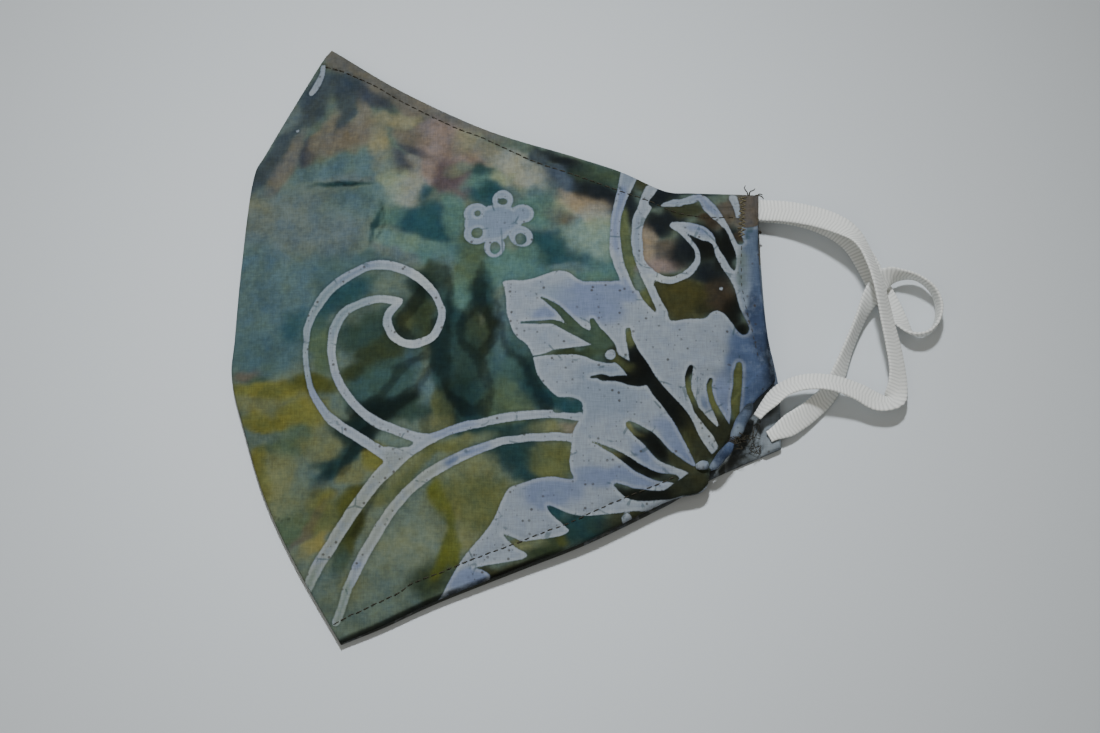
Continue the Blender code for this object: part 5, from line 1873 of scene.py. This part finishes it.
def wraps(centre, heading, radius, count, seed, threadRadius=0.13):
    # turns of thread round the rolled hem
    chance = np.random.RandomState(seed)
    way = np.array([math.cos(heading), math.sin(heading), 0.0])
    out = np.array([-math.sin(heading), math.cos(heading), 0.0])
    rows = []
    steps = count * wrapSet["points"]
    for number in range(steps + 1):
        turn = number * 2 * math.pi / wrapSet["points"]
        loose = radius * chance.uniform(*wrapSet["loose"])
        stray = chance.uniform(-wrapSet["stray"], wrapSet["stray"])
        along = (number / steps - 0.5) * wrapSet["width"] + stray
        spot = np.array(centre) + way * along + out * loose * math.cos(turn)
        rows.append((spot[0], spot[1], spot[2] + loose * math.sin(turn), threadRadius))
    return rows


knotRoutes = [
    wraps((53.6, -28.3, 7.3), math.radians(238), 0.85, 4, 3),
    wraps((54.9, -27.4, 7.4), math.radians(236), 1.0, 2, 4, 0.11),
    tangle((54.3, -28.2, 7.9), (1.5, 1.0, 0.4), 7, 9, 0.11),
    tangle((56.0, -27.6, 7.0), (1.3, 1.2, 0.7), 8, 11, 0.10),
    tangle((55.0, -29.6, 6.6), (1.4, 0.7, 0.6), 9, 8, 0.10),
]
knots = threadPiece("cornerKnots", knotRoutes, sides=7)
looseRoutes = [
    tangle((59.6, -25.6, 4.4), (1.7, 2.4, 0.8), 15, 9, 0.08),
    tangle((59.4, -28.6, 3.2), (1.6, 2.4, 0.9), 16, 9, 0.08),
    tangle((57.6, -27.4, 5.2), (1.8, 1.6, 0.8), 17, 9, 0.09),
]
tangles = threadPiece("cornerTangle", looseRoutes, sides=6)
tailAndShadowRoutes = [
    [(59.2, 34.0, 6.0, 0.16), (58.9, 35.0, 6.6, 0.15), (58.2, 35.9, 7.0, 0.14), (58.5, 36.7, 6.8, 0.10)],
    [(59.4, 34.1, 6.0, 0.16), (59.6, 35.2, 6.4, 0.15), (60.5, 35.6, 6.5, 0.14), (60.9, 36.2, 6.2, 0.10)],
    [(60.2, 34.2, 5.6, 0.17), (61.4, 34.7, 5.5, 0.17), (62.6, 34.4, 5.3, 0.15), (63.0, 33.8, 5.2, 0.11)],
    [(61.0, 34.3, 5.3, 0.16), (62.0, 35.1, 5.3, 0.15), (62.8, 34.9, 5.2, 0.12)],
    # a thick dark blob of thread standing in for the shade in the hem's opening: a painted shadow
    [(60.2, 25.4, 5.4, 0.25), (60.9, 25.2, 5.2, 0.45), (61.7, 25.4, 4.6, 0.45), (62.2, 25.3, 4.2, 0.25)],
]
tailsAndShadowBlob = threadPiece("threadTailsAndShadowBlob", tailAndShadowRoutes, sides=6, step=0.16)


def makeThread(name, colour):
    material, tree, shader = newMaterial(name, threadLook["roughness"], threadLook["specular"])
    fibre = noiseNode(tree, objectPlace(tree), *threadLook["fibre"]).outputs["Fac"]
    darker, lighter = [(*(threadLook[key] * part for part in colour), 1.0) for key in ("darker", "lighter")]
    tint = mixColour(tree, rangeNode(tree, fibre, *threadLook["fibreRange"]), darker, lighter)
    tree.links.new(tint, shader.inputs["Base Color"])
    bump = addNode(tree, "ShaderNodeBump", None, {
        "Height": fibre, "Strength": threadLook["bumpStrength"], "Distance": threadLook["bump"]})
    tree.links.new(bump.outputs["Normal"], shader.inputs["Normal"])
    return material


darkThread = makeThread("darkThread", threadLook["colour"])
tackThread = makeThread("oliveThread", threadLook["tack"])
for piece in (noseStitches, chinStitches, earStitches, knots, tangles, tailsAndShadowBlob):
    piece.data.materials.append(darkThread)
cornerTack.data.materials.append(tackThread)
rolledHem.data.materials.append(cotton)
rollPlaces = np.array([(v.co.x, v.co.y) for v in rolledHem.data.vertices]) / mm
giveAttribute(rolledHem, "wax", np.full(len(rollPlaces), 3.0))
giveColour(rolledHem, "dye", poolColours(rollPlaces, dyePools, "greyGreen"))
giveColour(rolledHem, "waxDye", poolColours(rollPlaces, rollPools, "waxBlue"))


def flatArea(place):
    # area of a level grid of places, in square metres
    one = place[1:, 1:] - place[:-1, :-1]
    two = place[1:, :-1] - place[:-1, 1:]
    return float(np.abs(one[..., 0] * two[..., 1] - one[..., 1] * two[..., 0]).sum() / 2) * mm**2


print("sewing is done; a half's flat area is", round(flatArea(leftPlace) * 1e6), "square mm")
